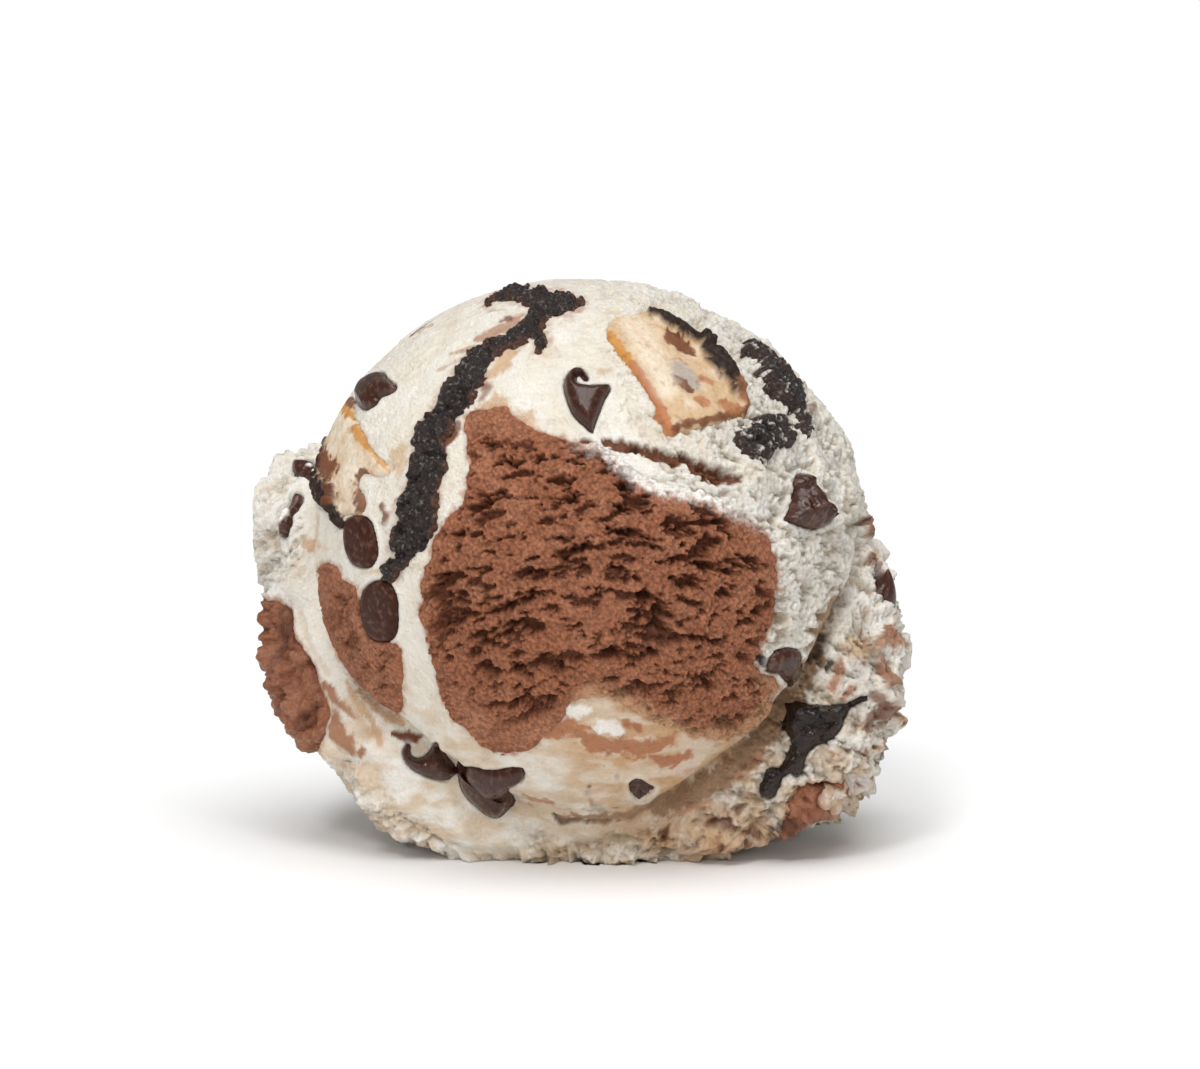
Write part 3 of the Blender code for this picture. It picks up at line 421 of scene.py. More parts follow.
    (CARAMEL, 0.45, 0, [(-6.9, 25.4, 0.37), (-5.6, 24.1, 0.22), (-4.1, 24.1, 0.18)]),
    (BROWN, 0.7, 0, [(-13.0, 20.2, 0.52), (-13.5, 19.3, 0.37)]),
    (CARAMEL, 0.5, 0, [(0.9, 22.4, 0.37), (1.8, 22.6, 0.28)]),
    (TAN, 0.8, 0, [(-23.7, 12.2, 0.77), (-23.3, 11.2, 0.7), (-24.0, 10.1, 0.28)]),
    (BROWN, 0.9, 0.3, [(-25.6, 5.9, 0.35), (-25.2, 4.7, 0.46), (-25.5, 3.9, 0.28)]),
    (CARAMEL, 0.7, 0, [(-28.0, -2.1, 0.18), (-26.8, -2.0, 0.28), (-25.4, -1.6, 0.21), (-24.7, -0.7, 0.14)]),
    (CARAMEL, 0.5, 0, [(-33.6, 4.7, 0.21), (-33.8, 2.8, 0.21), (-33.6, 1.0, 0.18)]),
    (CARAMEL, 0.45, 0, [(-30.7, 1.7, 0.28), (-30.8, 0.7, 0.18)]),
    (BROWN, 0.7, 0, [(-22.5, 8.7, 0.25), (-22.8, 7.7, 0.21), (-24.0, 6.8, 0.28)]),
    (BROWN, 0.85, 0, [(-17.3, 15.4, 0.49), (-17.9, 13.6, 0.56)]),
    # slits of brown chocolate, darkened further as painted shade in them
    (BROWN, 1.0, -0.45, [(-1.2, 13.8, 0.35), (-0.2, 13.5, 0.29)]),
    (BROWN, 1.0, -0.6, [(1.6, 13.8, 0.35), (3.0, 13.4, 0.63), (5.1, 13.1, 0.49)]),
    (BROWN, 1.0, -0.7, [(5.5, 13.1, 0.35), (8.1, 12.4, 0.55), (9.9, 11.8, 0.77), (12.0, 11.6, 0.35)]),
    (BROWN, 1.0, -0.8, [(11.3, 11.7, 0.35), (13.2, 10.5, 0.77), (15.5, 9.6, 0.92), (17.6, 9.2, 0.42)]),
    (BROWN, 0.8, 0.2, [(25.8, 21.4, 0.51), (25.4, 20.3, 0.37)]),
    (BROWN, 0.7, 0.1, [(26.8, 18.3, 0.42), (26.5, 17.3, 0.37)]),
]
BISCUIT_MARKS = {
    "biscuit_right": [
        (GOLD, 1.0, 0, [
            (1.9, 26.6, 0.56), (3.4, 24.5, 0.65), (5.1, 21.9, 0.65), (6.4, 19.6, 0.65), (7.6, 17.3, 0.65),
            (9.2, 15.2, 0.65),
        ]),
        (STAIN, 0.95, 0.1, [(4.8, 23.1, 0.37), (6.9, 19.6, 0.56), (8.2, 17.3, 0.61), (9.5, 15.2, 0.47)]),
        (COCOA, 1.0, 0.6, [(7.1, 29.5, 0.5), (9.9, 28.1, 0.7), (12.3, 26.6, 0.8), (13.8, 25.7, 0.6)]),
        (COCOA, 1.0, 0.8, [
            (13.6, 25.4, 0.7), (14.4, 24.5, 0.9), (15.3, 23.3, 1.2), (16.6, 21.8, 1.0), (17.4, 20.6, 0.6),
        ]),
        (COCOA, 0.9, 0.3, [(17.4, 20.5, 0.37), (18.2, 19.4, 0.47), (18.9, 18.4, 0.37)]),
        (STAIN, 0.6, 0, [(17.9, 20.5, 0.74), (18.8, 18.4, 0.56)]),
        (BAKED, 0.9, 0.05, [
            (18.8, 17.7, 0.42), (16.5, 17.0, 0.47), (13.7, 16.3, 0.42), (11.3, 15.8, 0.37), (9.9, 15.4, 0.33),
        ]),
        (STAIN, 0.8, 0, [(15.8, 18.2, 0.56), (17.4, 17.6, 0.65)]),
        (BAKED, 0.95, 0.05, [(8.9, 26.5, 0.37), (10.4, 25.5, 0.61), (12.0, 24.4, 0.37)]),
        (GREY, 0.8, 0, [(10.4, 22.4, 0.93), (11.6, 21.0, 1.12)]),
        (BAKED, 0.9, 0, [(10.0, 21.5, 0.37), (10.9, 20.5, 0.56), (11.8, 20.0, 0.28)]),
        (STAIN, 0.85, 0, [(12.6, 18.9, 0.42), (13.8, 18.3, 0.37)]),
        (STAIN, 0.8, 0, [(13.1, 21.4, 0.37), (14.2, 20.9, 0.33)]),
        (STAIN, 0.6, 0, [(4.4, 28.1, 0.09), (5.3, 26.8, 0.14), (7.4, 24.8, 0.14)]),
        (GOLD, 0.5, 0, [(4.6, 28.4, 0.37), (6.0, 26.1, 0.42), (7.1, 24.7, 0.28)]),
        (CREAM, 0.5, 0, [(4.4, 28.4, 1.1), (6.7, 25.2, 1.3), (9.1, 20.0, 1.2)]),
    ],
    "biscuit_left": [
        (BAKED, 0.9, 0, [(-30.3, 19.5, 0.48), (-29.8, 18.9, 0.84), (-29.5, 18.3, 0.52)]),
        (GOLD, 0.95, 0, [(-30.4, 18.0, 0.35), (-29.6, 17.1, 0.53), (-29.1, 16.8, 0.28)]),
        (GOLD, 0.9, 0, [(-28.8, 15.3, 0.42), (-28.2, 14.2, 0.56), (-27.5, 13.3, 0.28)]),
        (GOLD, 0.85, 0, [(-27.5, 13.3, 0.18), (-26.1, 11.7, 0.28), (-24.9, 10.3, 0.21)]),
        (GOLD, 0.8, 0, [(-32.4, 12.2, 0.56), (-31.7, 10.5, 0.49), (-31.4, 9.4, 0.21)]),
        (BAKED, 0.95, 0.05, [(-32.8, 12.1, 0.84), (-32.4, 10.7, 1.26), (-32.1, 9.4, 0.52)]),
        (COCOA, 1.0, 0.3, [
            (-33.5, 14.5, 0.26), (-33.9, 12.6, 0.47), (-34.2, 10.5, 0.65), (-34.4, 8.7, 0.79),
        ]),
        (COCOA, 1.0, 0.5, [(-33.5, 8.7, 0.65), (-32.8, 7.5, 1.31), (-32.6, 6.3, 0.91)]),
        (COCOA, 1.0, 0.5, [(-31.7, 6.3, 0.53), (-31.2, 4.9, 0.79), (-30.7, 3.6, 0.6)]),
        (BAKED, 0.8, 0.1, [(-31.7, 8.4, 0.42), (-31.5, 6.6, 0.48)]),
        (BAKED, 0.9, 0, [(-27.9, 10.0, 0.48), (-28.1, 8.4, 0.84), (-28.3, 7.0, 0.73), (-27.8, 5.6, 0.63)]),
        (STAIN, 0.6, 0, [(-27.4, 7.3, 0.21), (-27.2, 5.6, 0.21)]),
    ],
    "biscuit_back": [],
}


def smooth(low, high, value):
    """0 below low, 1 above high, and a soft step between."""
    share = np.clip((value - low) / (high - low), 0.0, 1.0)
    return share * share * (3.0 - 2.0 * share)


def bell(value):
    """1 at 0, and nearly 0 past 2 on either side."""
    return np.exp(-(value**2))


def unit(vectors):
    return vectors / np.linalg.norm(vectors, axis=1)[:, None]


RANDOM = np.random.default_rng(7)
SHUFFLE = RANDOM.permutation(256)
SLOPES = unit(RANDOM.normal(size=(256, 3)))
PLACES = RANDOM.random((256, 3))


def drawn(cell):
    """A random whole number below 256 for each cell of a grid."""
    x, y, z = (cell & 255).T
    return SHUFFLE[(SHUFFLE[(SHUFFLE[x] + y) & 255] + z) & 255]


def noise(points):
    """Gradient noise of about -0.7 to 0.7, with one bump for each unit of length."""
    cell = np.floor(points).astype(np.int64)
    local = points - cell
    ease = local**3 * (local * (local * 6.0 - 15.0) + 10.0)
    total = np.zeros(len(points))
    for corner in itertools.product((0, 1), repeat=3):
        weight = np.prod(np.where(corner, ease, 1.0 - ease), axis=1)
        total += weight * np.einsum("ij,ij->i", SLOPES[drawn(cell + corner)], local - corner)
    return total


def layered(points, size, layers, seed=0.0):
    """Noise of that size with finer layers on it, each half as large and half as strong."""
    return sum(0.5**n * noise(points * 2.0**n / size + seed + 17.0 * n) for n in range(layers))


def grains(points, size, seed=0.0):
    """Round grains about size apart: 1 in the middle of each, near 0 where they meet."""
    scaled = points / size + seed
    cell = np.floor(scaled).astype(np.int64)
    local = scaled - cell
    nearest = np.ones(len(points))
    for step in itertools.product((-1, 0, 1), repeat=3):
        gap = step + PLACES[drawn(cell + step)] - local
        nearest = np.minimum(nearest, np.einsum("ij,ij->i", gap, gap))
    return 1.0 - nearest


def round_table(pairs, clock):
    """The value of a table of (degrees, value) pairs at each clock angle, with its corners rounded off."""
    degrees, values = np.array(sorted(pairs), float).T
    taps = (-4.0, -2.0, 0.0, 2.0, 4.0)
    return sum(np.interp(clock + tap, degrees, values, period=360.0) for tap in taps) / len(taps)


def side_axes(side):
    """(right, up, towards the eye) for the eye in front, or for its twin straight behind."""
    turn = 1.0 if side == "front" else -1.0
    return turn * RIGHT, UPWARDS * (1.0, turn, 1.0), TOWARDS * (1.0, turn, 1.0)


def seen_angles(directions, side="front"):
    """(degrees from the line to the eye, clock angle) of each direction from the ball's centre."""
    along, upwards, towards = side_axes(side)
    away = np.degrees(np.arccos(np.clip(directions @ towards, -1.0, 1.0)))
    clock = np.degrees(np.arctan2(directions @ upwards, directions @ along)) % 360.0
    return away, clock


def plain_radius(directions):
    """The scoop's form without relief."""
    away, clock = seen_angles(directions)
    edge = round_table(BALL_EDGE, clock)
    reach = round_table(COLLAR_REACH, clock)
    groove = round_table(GROOVE_ANGLE, clock)
    radius = BALL_RADIUS + (edge - BALL_RADIUS) * smooth(35.0, 85.0, away)
    collar_share = smooth(0.0, 4.0, reach)
    low_share = smooth(0.2, 0.9, -directions[:, 2])
    fall_start = COLLAR_END + COLLAR_END_LOW * low_share
    rise = smooth(0.0, COLLAR_RISE, away - groove)
    fall = 1.0 - smooth(fall_start, fall_start + COLLAR_FALL, away)
    radius -= GROOVE_DEPTH * collar_share * bell((away - groove) / GROOVE_WIDTH)
    radius += (BACK_RADIUS - radius) * smooth(*BACK_SPAN, away)
    radius += reach * rise * fall
    foot = smooth(0.72, 0.93, -directions[:, 2]) * smooth(*FOOT_SPAN, away)
    return radius + (np.maximum(FOOT_RADIUS, radius) - radius) * foot


def seen_profile(flat, towards):
    """(angles, how far out the eye sees each of them) along one clock angle, or a row of them."""
    away = np.radians(np.linspace(0.0, 125.0, 251))
    directions = np.sin(away)[:, None] * flat[..., None, :] + np.cos(away)[:, None] * towards
    radius = plain_radius(directions.reshape(-1, 3)).reshape(directions.shape[:-1])
    seen = radius * np.sin(away) * EYE_DISTANCE / (EYE_DISTANCE - radius * np.cos(away))
    wrap = EDGE_WRAP * np.maximum(0.0, np.degrees(away) - 75.0)
    return away, np.maximum.accumulate(seen, axis=-1) + wrap


def direction_seen_at(right, up, side="front"):
    """The direction from the ball's centre to the point that the eye sees at this place."""
    along, upwards, towards = side_axes(side)
    clock = math.atan2(up, right)
    flat = math.cos(clock) * along + math.sin(clock) * upwards
    away, seen = seen_profile(flat, towards)
    found = np.interp(math.hypot(right, up), seen, away)
    return math.sin(found) * flat + math.cos(found) * towards


def seen_table(side):
    """How far out the eye sees each whole degree of the clock, at each half degree away from its line."""
    along, upwards, towards = side_axes(side)
    clock = np.radians(np.arange(361.0))
    flat = np.cos(clock)[:, None] * along + np.sin(clock)[:, None] * upwards
    return seen_profile(flat, towards)[1]


SEEN = {side: seen_table(side) for side in SIDES}


def seen_place(directions, side):
    """(right, up) at which the eye sees each direction. Past its reach, a place far outside."""
    away, clock = seen_angles(directions, side)
    row = np.minimum(np.floor(clock).astype(int), 359)
    column = np.minimum(np.floor(away * 2.0).astype(int), 249)
    across, along = clock - row, np.minimum(away * 2.0 - column, 1.0)
    table = SEEN[side]
    low = table[row, column] * (1.0 - along) + table[row, column + 1] * along
    high = table[row + 1, column] * (1.0 - along) + table[row + 1, column + 1] * along
    out = low * (1.0 - across) + high * across + np.where(away > 124.0, 50.0, 0.0)
    return out[:, None] * np.column_stack([np.cos(np.radians(clock)), np.sin(np.radians(clock))])


def even_closed(points, step):
    """A closed smooth line through the points, with a point about every step."""
    points = np.array(points, float)
    before, after, later = (np.roll(points, shift, axis=0) for shift in (1, -1, -2))
    line = []
    for a, b, c, d in zip(before, points, after, later, strict=True):
        count = max(1, round(float(np.linalg.norm(c - b)) / step))
        for t in np.arange(count) / count:
            bend = (c - a) * t + (2 * a - 5 * b + 4 * c - d) * t**2 + (3 * b - a - 3 * c + d) * t**3
            line.append(b + 0.5 * bend)
    return np.array(line)


def close_to(shape, points, reach):
    """The numbers of the points within reach of a shape's box."""
    low, high = shape[:, :2].min(0) - reach, shape[:, :2].max(0) + reach
    return np.flatnonzero(np.all((points > low) & (points < high), axis=1))


def outline_depth(outline, points, reach=REACH):
    """How far each point lies inside a closed outline, negative outside, and never further out than reach."""
    result = np.full(len(points), -reach)
    near = close_to(outline, points, reach)
    start, end = outline, np.roll(outline, -1, axis=0)
    edge = end - start
    slope = edge[:, 0] / np.where(edge[:, 1] == 0.0, 1e-9, edge[:, 1])
    for part in np.array_split(near, 1 + len(near) // 20000):
        p = points[part]
        away = p[:, None] - start
        share = np.clip((away * edge).sum(2) / (edge * edge).sum(1), 0.0, 1.0)
        nearest = np.linalg.norm(away - share[..., None] * edge, axis=2).min(1)
        above = (start[:, 1] > p[:, 1:]) != (end[:, 1] > p[:, 1:])
        crossed = p[:, :1] < start[:, 0] + (p[:, 1:] - start[:, 1]) * slope
        inside = (above & crossed).sum(1) % 2 == 1
        result[part] = np.where(inside, nearest, -nearest)
    return np.maximum(result, -reach)


def stroke_depth(stroke, points, reach=REACH):
    """How far each point lies inside a stroke of (right, up, half width) points, as outline_depth."""
    result = np.full(len(points), -reach)
    near = close_to(stroke, points, reach + stroke[:, 2].max())
    p = points[near]
    depth = np.full(len(near), -reach)
    for start, end in itertools.pairwise(stroke):
        run = end[:2] - start[:2]
        share = np.clip((p - start[:2]) @ run / (run @ run), 0.0, 1.0)
        gap = np.linalg.norm(p - start[:2] - share[:, None] * run, axis=1)
        depth = np.maximum(depth, start[2] + (end[2] - start[2]) * share - gap)
    result[near] = depth
    return result


def depth_in(shapes, points):
    """How far each point lies inside the nearest of some outlines and strokes."""
    measure = {2: outline_depth, 3: stroke_depth}
    return np.max([measure[shape.shape[1]](shape, points) for shape in shapes], axis=0)


# Each inlay: side, how ragged its edge is in millimetres, and its outlines and strokes
INLAYS = {
    "biscuit_right": ("front", 0.25, [BISCUIT_RIGHT]),
    "biscuit_left": ("front", 0.3, [BISCUIT_LEFT]),
    "crumb_strip": ("front", 0.9, [CRUMB_STRIP]),
    "crumb_lump": ("front", 0.7, [CRUMB_LUMP]),
    "cookie_swirl_front": ("front", 0.9, [SWIRL, SWIRL_HEAD]),
    "cookie_swirl_lobe": ("front", 0.7, [SWIRL_LOBE, SWIRL_TAIL]),
    "fudge_rim": ("front", 0.25, [FUDGE_RIM]),
    "chocolate_front": ("front", 0.8, [CHOCOLATE_FRONT]),
    "chocolate_left": ("front", 0.35, [CHOCOLATE_LEFT]),
    "chocolate_rim_left": ("front", 0.6, [CHOCOLATE_RIM_LEFT]),
    "chocolate_rim_right": ("front", 0.4, [CHOCOLATE_RIM_RIGHT]),
    "biscuit_back": ("back", 0.3, [BISCUIT_BACK]),
    "cookie_swirl_back": ("back", 0.9, [SWIRL_BACK]),
    "chocolate_back": ("back", 0.8, [CHOCOLATE_BACK]),
}
INLAYS.update({name: ("front", 0.0, [shape[0]]) for name, shape in CHIP_SHAPES.items()})

# How much narrower than its solid the surface of a streak or crumb is, on each side
THINNER = {"crumb_strip": 0.4, "crumb_lump": 0.25, "cookie_swirl_front": 0.2}


def drawn_shape(points, step):
    """An outline as a smooth line, or a stroke as it is."""
    return even_closed(points, step) if len(points[0]) == 2 else np.array(points)


SHAPES = {
    name: [drawn_shape(points, CHIP_LINE_STEP if name in CHIP_SHAPES else LINE_STEP) for points in inlay[2]]
    for name, inlay in INLAYS.items()
}


class Survey:
    """What there is at each of many directions: where the eye sees it, the plain form's point there, and how
    far inside each inlay it lies."""

    def __init__(self, directions):
        self.directions = directions
        self.away, self.clock = seen_angles(directions)
        radius = plain_radius(directions)
        self.plain = CENTRE + directions * radius[:, None]
        nudged = [plain_radius(unit(directions + nudge)) for nudge in SLOPE_STEP * np.eye(3)]
        slope = (np.column_stack(nudged) - radius[:, None]) / SLOPE_STEP
        self.normals = unit(directions - slope / radius[:, None])
        self.groove = self.away - round_table(GROOVE_ANGLE, self.clock)
        self.grooved = smooth(0.0, 4.0, round_table(COLLAR_REACH, self.clock))
        self.lumps, self.rough = coarse_relief(self)
        moved = self.normals * self.lumps[:, None]
        self.place = {
            side: seen_place(directions, side) + moved @ np.array(side_axes(side)[:2]).T for side in SIDES
        }
        self.fray = layered(self.plain, 1.0, 4, 140.0) + 0.3 * noise(self.plain / 0.3)
        wander = np.column_stack([layered(self.plain, 2.2, 3, seed) for seed in (5.0, 55.0)])
        self.inside = {
            name: depth_in(SHAPES[name], self.place[side] + wander * ragged) - THINNER.get(name, 0.0)
            for name, (side, ragged, _) in INLAYS.items()
        }
        for name in ("chocolate_front", "chocolate_back"):
            self.lumps *= 1.0 - smooth(0.0, 2.5, self.inside[name])

    def most_inside(self, *starts):
        """How far inside the nearest inlay whose name starts so."""
        return np.max([value for name, value in self.inside.items() if name.startswith(starts)], axis=0)


def mix(first, second, share):
    return first + (second - first) * np.clip(share, 0.0, 1.0)[:, None]


def paint(survey, marks, tint, height):
    """(tint, height) with the marks on them, their edges frayed."""
    for colour, strength, lift, stroke in marks:
        stroke = np.array(stroke)
        wide = stroke[:, 2].max()
        depth = stroke_depth(stroke, survey.place["front"], 1.5)
        soft = 0.06 + (0.15 + 0.9 * (1.0 - strength)) * wide
        share = smooth(-soft, soft, depth + 0.12 * wide + (0.15 + 0.8 * wide) * survey.fray)
        tint = mix(tint, colour, strength * share)
        height = height + lift * share
    return tint, height


def bent(points, size, amount):
    """The points moved about by noise of that size."""
    return points + amount * np.column_stack([noise(points / size + k) for k in (4.0, 14.0, 24.0)])


def tears(points, size, seed=0.0):
    """1 in torn pits, which lie in slightly bent rows about size apart, and 0 between them."""
    x, y, z = points.T
    rows = np.column_stack([x, y, z + 0.008 * x * x - 0.10 * x])
    ragged = np.column_stack([noise(points / (0.3 * size) + seed + k) for k in (3.0, 9.0, 15.0)])
    field = layered((rows + 0.3 * size * ragged) / (2.4, 2.4, 1.0), size, 4, seed)
    return smooth(0.12, 0.38, field)


def along_arcs(survey, size, stretch, layers, seed):
    """Noise drawn out along the arcs round the line to the eye."""
    clock = np.radians(survey.clock)
    arc = BALL_RADIUS / (size * stretch)
    place = np.column_stack([arc * np.cos(clock), arc * np.sin(clock), survey.away * 0.6 / size])
    return layered(place, 1.0, layers, seed)


def rounded(inside, radius):
    """0 at an edge and 1 from the radius inwards, in a quarter circle."""
    return np.sqrt(1.0 - (1.0 - np.clip(inside / radius, 0.0, 1.0)) ** 2)


def coarse_relief(survey):
    """(height, roughness) of the lumps of the collar, the torn side and the back, as in the part's solids."""
    points, directions = survey.plain, survey.directions
    torn = smooth(0.25, 0.75, directions[:, 0] + 0.25 * directions[:, 2]) * 0.5
    collar = smooth(0.0, 8.0, survey.groove)
    rough = np.maximum(0.08, np.maximum(torn, np.maximum(collar, smooth(95.0, 125.0, survey.away))))
    lumps = LUMP_HEIGHT * np.abs(noise(points / LUMP_SIZE)) - 1.0
    return rough * (lumps + CRAG_HEIGHT * noise(points / CRAG_SIZE + 31.0)), rough


# Materials


class Nodes:
    """A short way to write a material's nodes."""

    def __init__(self, name):
        self.material = bpy.data.materials.new(name)
        self.material.use_nodes = True
        self.tree = self.material.node_tree
        self.shader = self.tree.nodes["Principled BSDF"]

    def put(self, socket, value):
        if isinstance(value, bpy.types.NodeSocket):
            self.tree.links.new(value, socket)
        else:
            socket.default_value = value

    def fill(self, node, values):
        """Links or sets a node's sockets by name: base_color, roughness and so on."""
        for name, value in values.items():
            self.put(node.inputs[name.replace("_", " ").title().replace("Ior", "IOR")], value)
        return node

    def add(self, kind, **values):
        return self.fill(self.tree.nodes.new("ShaderNode" + kind), values)

    def set(self, **values):
        self.fill(self.shader, values)

    def texture(self, kind, size, **values):
        """A texture in the object's own space, with features about size millimetres across."""
        place = self.add("TexCoord").outputs["Object"]
        return self.add("Tex" + kind, vector=place, scale=1.0 / (size * MM), **values)

    def noise(self, size, detail=3.0, rough=0.6):
        return self.texture("Noise", size, detail=detail, roughness=rough).outputs["Fac"]

    def cells(self, size):
        """Distance from the middles of small round cells."""
        return self.texture("Voronoi", size).outputs["Distance"]

    def span(self, value, low, high, to_low=0.0, to_high=1.0):
        """value taken from low..high to to_low..to_high, and kept there."""
        ends = {"from_min": low, "from_max": high, "to_min": to_low, "to_max": to_high}
        return self.add("MapRange", value=value, **ends).outputs["Result"]

    def blend(self, share, first, second, kind="MIX"):
        node = self.tree.nodes.new("ShaderNodeMix")
        node.data_type, node.blend_type = "RGBA", kind
        self.put(node.inputs["Factor"], share)
        sockets = [s for s in node.inputs if s.type == "RGBA"]
        for socket, colour in zip(sockets, (first, second), strict=True):
            self.put(socket, colour if isinstance(colour, bpy.types.NodeSocket) else (*colour, 1.0))
        return next(s for s in node.outputs if s.type == "RGBA")

    def shaded(self, share, dark, light):
        """The mesh's own colours, times a shade from dark to light."""
        tint = self.add("Attribute")
        tint.attribute_name = "tint"
        return self.blend(1.0, tint.outputs["Color"], self.blend(share, dark, light), "MULTIPLY")

    def bump(self, *layers):
        """Layers of (height, strength in millimetres)."""
        under = {}
        for height, depth in layers:
            node = self.add("Bump", height=height, distance=depth * MM, strength=1.0, **under)
            under = {"normal": node.outputs["Normal"]}
        self.set(**under)

    def soften(self, weight, radius, scale):
        """Light that goes a little way into the surface."""
        self.set(subsurface_weight=weight, subsurface_radius=radius, subsurface_scale=scale * MM)


def vanilla_material():
    nodes = Nodes("vanilla")
    grain = nodes.noise(0.45, 4.0, 0.7)
    cloud = nodes.noise(2.6, 4.0, 0.65)
    colour = nodes.shaded(nodes.span(grain, 0.3, 0.7), (0.90, 0.885, 0.86), (1.02, 1.02, 1.02))
    shade = nodes.blend(nodes.span(cloud, 0.38, 0.62), (0.94, 0.925, 0.90), (1.0, 1.0, 1.0))
    colour = nodes.blend(1.0, colour, shade, "MULTIPLY")
    nodes.set(base_color=colour, roughness=nodes.span(cloud, 0.35, 0.65, 0.34, 0.60), ior=1.36)
    nodes.bump((nodes.noise(0.9, 5.0, 0.75), 0.19), (grain, 0.15), (nodes.cells(0.42), 0.11))
    nodes.soften(0.3, (1.0, 0.8, 0.62), 1.1)
    return nodes.material


def chocolate_material(name, dull, shiny, depth):
    nodes = Nodes(name)
    grain = nodes.noise(0.38, 4.0, 0.72)
    colour = nodes.shaded(nodes.span(grain, 0.32, 0.68), (0.74, 0.71, 0.69), (1.28, 1.25, 1.22))
    wet = nodes.span(nodes.noise(1.6, 4.0), 0.35, 0.65, shiny, dull)
    nodes.set(base_color=colour, roughness=wet, ior=1.38)
    torn, cells = nodes.noise(0.8, 5.0, 0.7), nodes.cells(0.42)
    nodes.bump((torn, 0.35 * depth), (grain, 0.2 * depth), (cells, 0.14 * depth))
    nodes.soften(0.1, (1.0, 0.5, 0.3), 0.7)
    return nodes.material


def cookie_material():
    """Wet black crumb with frosty specks."""
    nodes = Nodes("dark_cookie")
    grain = nodes.noise(0.34, 4.0, 0.75)
    speck = nodes.span(nodes.noise(0.45, 3.0, 0.6), 0.57, 0.68, 0.0, 0.85)
    smear = nodes.span(nodes.noise(1.8, 4.0, 0.65), 0.56, 0.72, 0.0, 0.25)
    colour = nodes.shaded(nodes.span(grain, 0.35, 0.65), (0.3, 0.3, 0.3), (1.6, 1.5, 1.45))
    colour = nodes.blend(smear, colour, (0.10, 0.07, 0.055))
    colour = nodes.blend(speck, colour, (0.20, 0.18, 0.165))
    nodes.set(base_color=colour, roughness=nodes.span(nodes.noise(0.7, 4.0), 0.40, 0.60, 0.10, 0.5), ior=1.4)
    nodes.bump((nodes.noise(0.7, 5.0, 0.75), 0.35), (grain, 0.16))
    return nodes.material


def fudge_material():
    nodes = Nodes("fudge")
    cloud = nodes.span(nodes.noise(1.2, 4.0), 0.35, 0.65)
    colour = nodes.blend(cloud, (0.005, 0.003, 0.003), (0.026, 0.012, 0.008))
    wet = nodes.span(nodes.noise(1.6, 4.0), 0.35, 0.65, 0.03, 0.12)
    nodes.set(base_color=colour, roughness=wet, ior=1.42)
    nodes.bump((nodes.noise(1.3, 3.0, 0.5), 0.7), (nodes.noise(0.35, 3.0), 0.05))
    return nodes.material


def biscuit_material():
    nodes = Nodes("biscuit")
    grain = nodes.noise(0.4, 4.0, 0.65)
    colour = nodes.shaded(nodes.span(grain, 0.3, 0.7), (0.90, 0.87, 0.82), (1.03, 1.02, 1.0))
    nodes.set(base_color=colour, roughness=nodes.span(nodes.noise(1.2), 0.3, 0.7, 0.38, 0.65), ior=1.3)
    nodes.bump((nodes.noise(1.0, 5.0, 0.6), 0.14), (grain, 0.09))
    nodes.soften(0.2, (1.0, 0.7, 0.45), 1.0)
    return nodes.material


def chip_material(name, dull, shiny, ior):
    nodes = Nodes(name)
    cloud = nodes.span(nodes.noise(0.5, 4.0), 0.3, 0.7)
    colour = nodes.shaded(cloud, (0.72, 0.70, 0.70), (1.3, 1.28, 1.25))
    sheen = nodes.span(nodes.noise(1.1, 4.0), 0.35, 0.65, shiny, dull)
    nodes.set(base_color=colour, roughness=sheen, ior=ior)
    nodes.bump((nodes.noise(1.4, 4.0, 0.6), 0.14), (nodes.noise(0.28, 3.0), 0.03))
    return nodes.material


VANILLA_LOOK = vanilla_material()
CHOCOLATE_LOOK = chocolate_material("chocolate", 0.82, 0.55, 1.0)
WET_CHOCOLATE_LOOK = chocolate_material("wet_chocolate", 0.42, 0.16, 0.5)
COOKIE_LOOK = cookie_material()
FUDGE_LOOK = fudge_material()
BISCUIT_LOOK = biscuit_material()
CHIP_LOOK = chip_material("chip", 0.34, 0.14, 1.45)
FLAT_CHIP_LOOK = chip_material("flat_chip", 0.5, 0.3, 1.22)


# Meshes


def placed(name, data):
    """A new object of the scene."""
    made = bpy.data.objects.new(name, data)
    bpy.context.scene.collection.objects.link(made)
    return made


def piece(name, points, faces, material, stands_for, tint):
    """A smooth-shaded piece of the object from points in millimetres, riding on the root."""
    mesh = bpy.data.meshes.new(name)
    mesh.from_pydata(np.clip(points * MM, *CAD_BOX).tolist(), [], faces.tolist())
    mesh.materials.append(material)
    colours = mesh.color_attributes.new("tint", "FLOAT_COLOR", "POINT")
    colours.data.foreach_set("color", np.column_stack([tint, np.ones(len(tint))]).ravel())
    mesh.shade_smooth()
    made = placed(name, mesh)
    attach(made, "root")
    if stands_for:
        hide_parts(*stands_for)


def grid_quads(corner):
    """The quads between the neighbours in a grid of point numbers."""
    return np.stack([corner[:-1, :-1], corner[1:, :-1], corner[1:, 1:], corner[:-1, 1:]], -1).reshape(-1, 4)


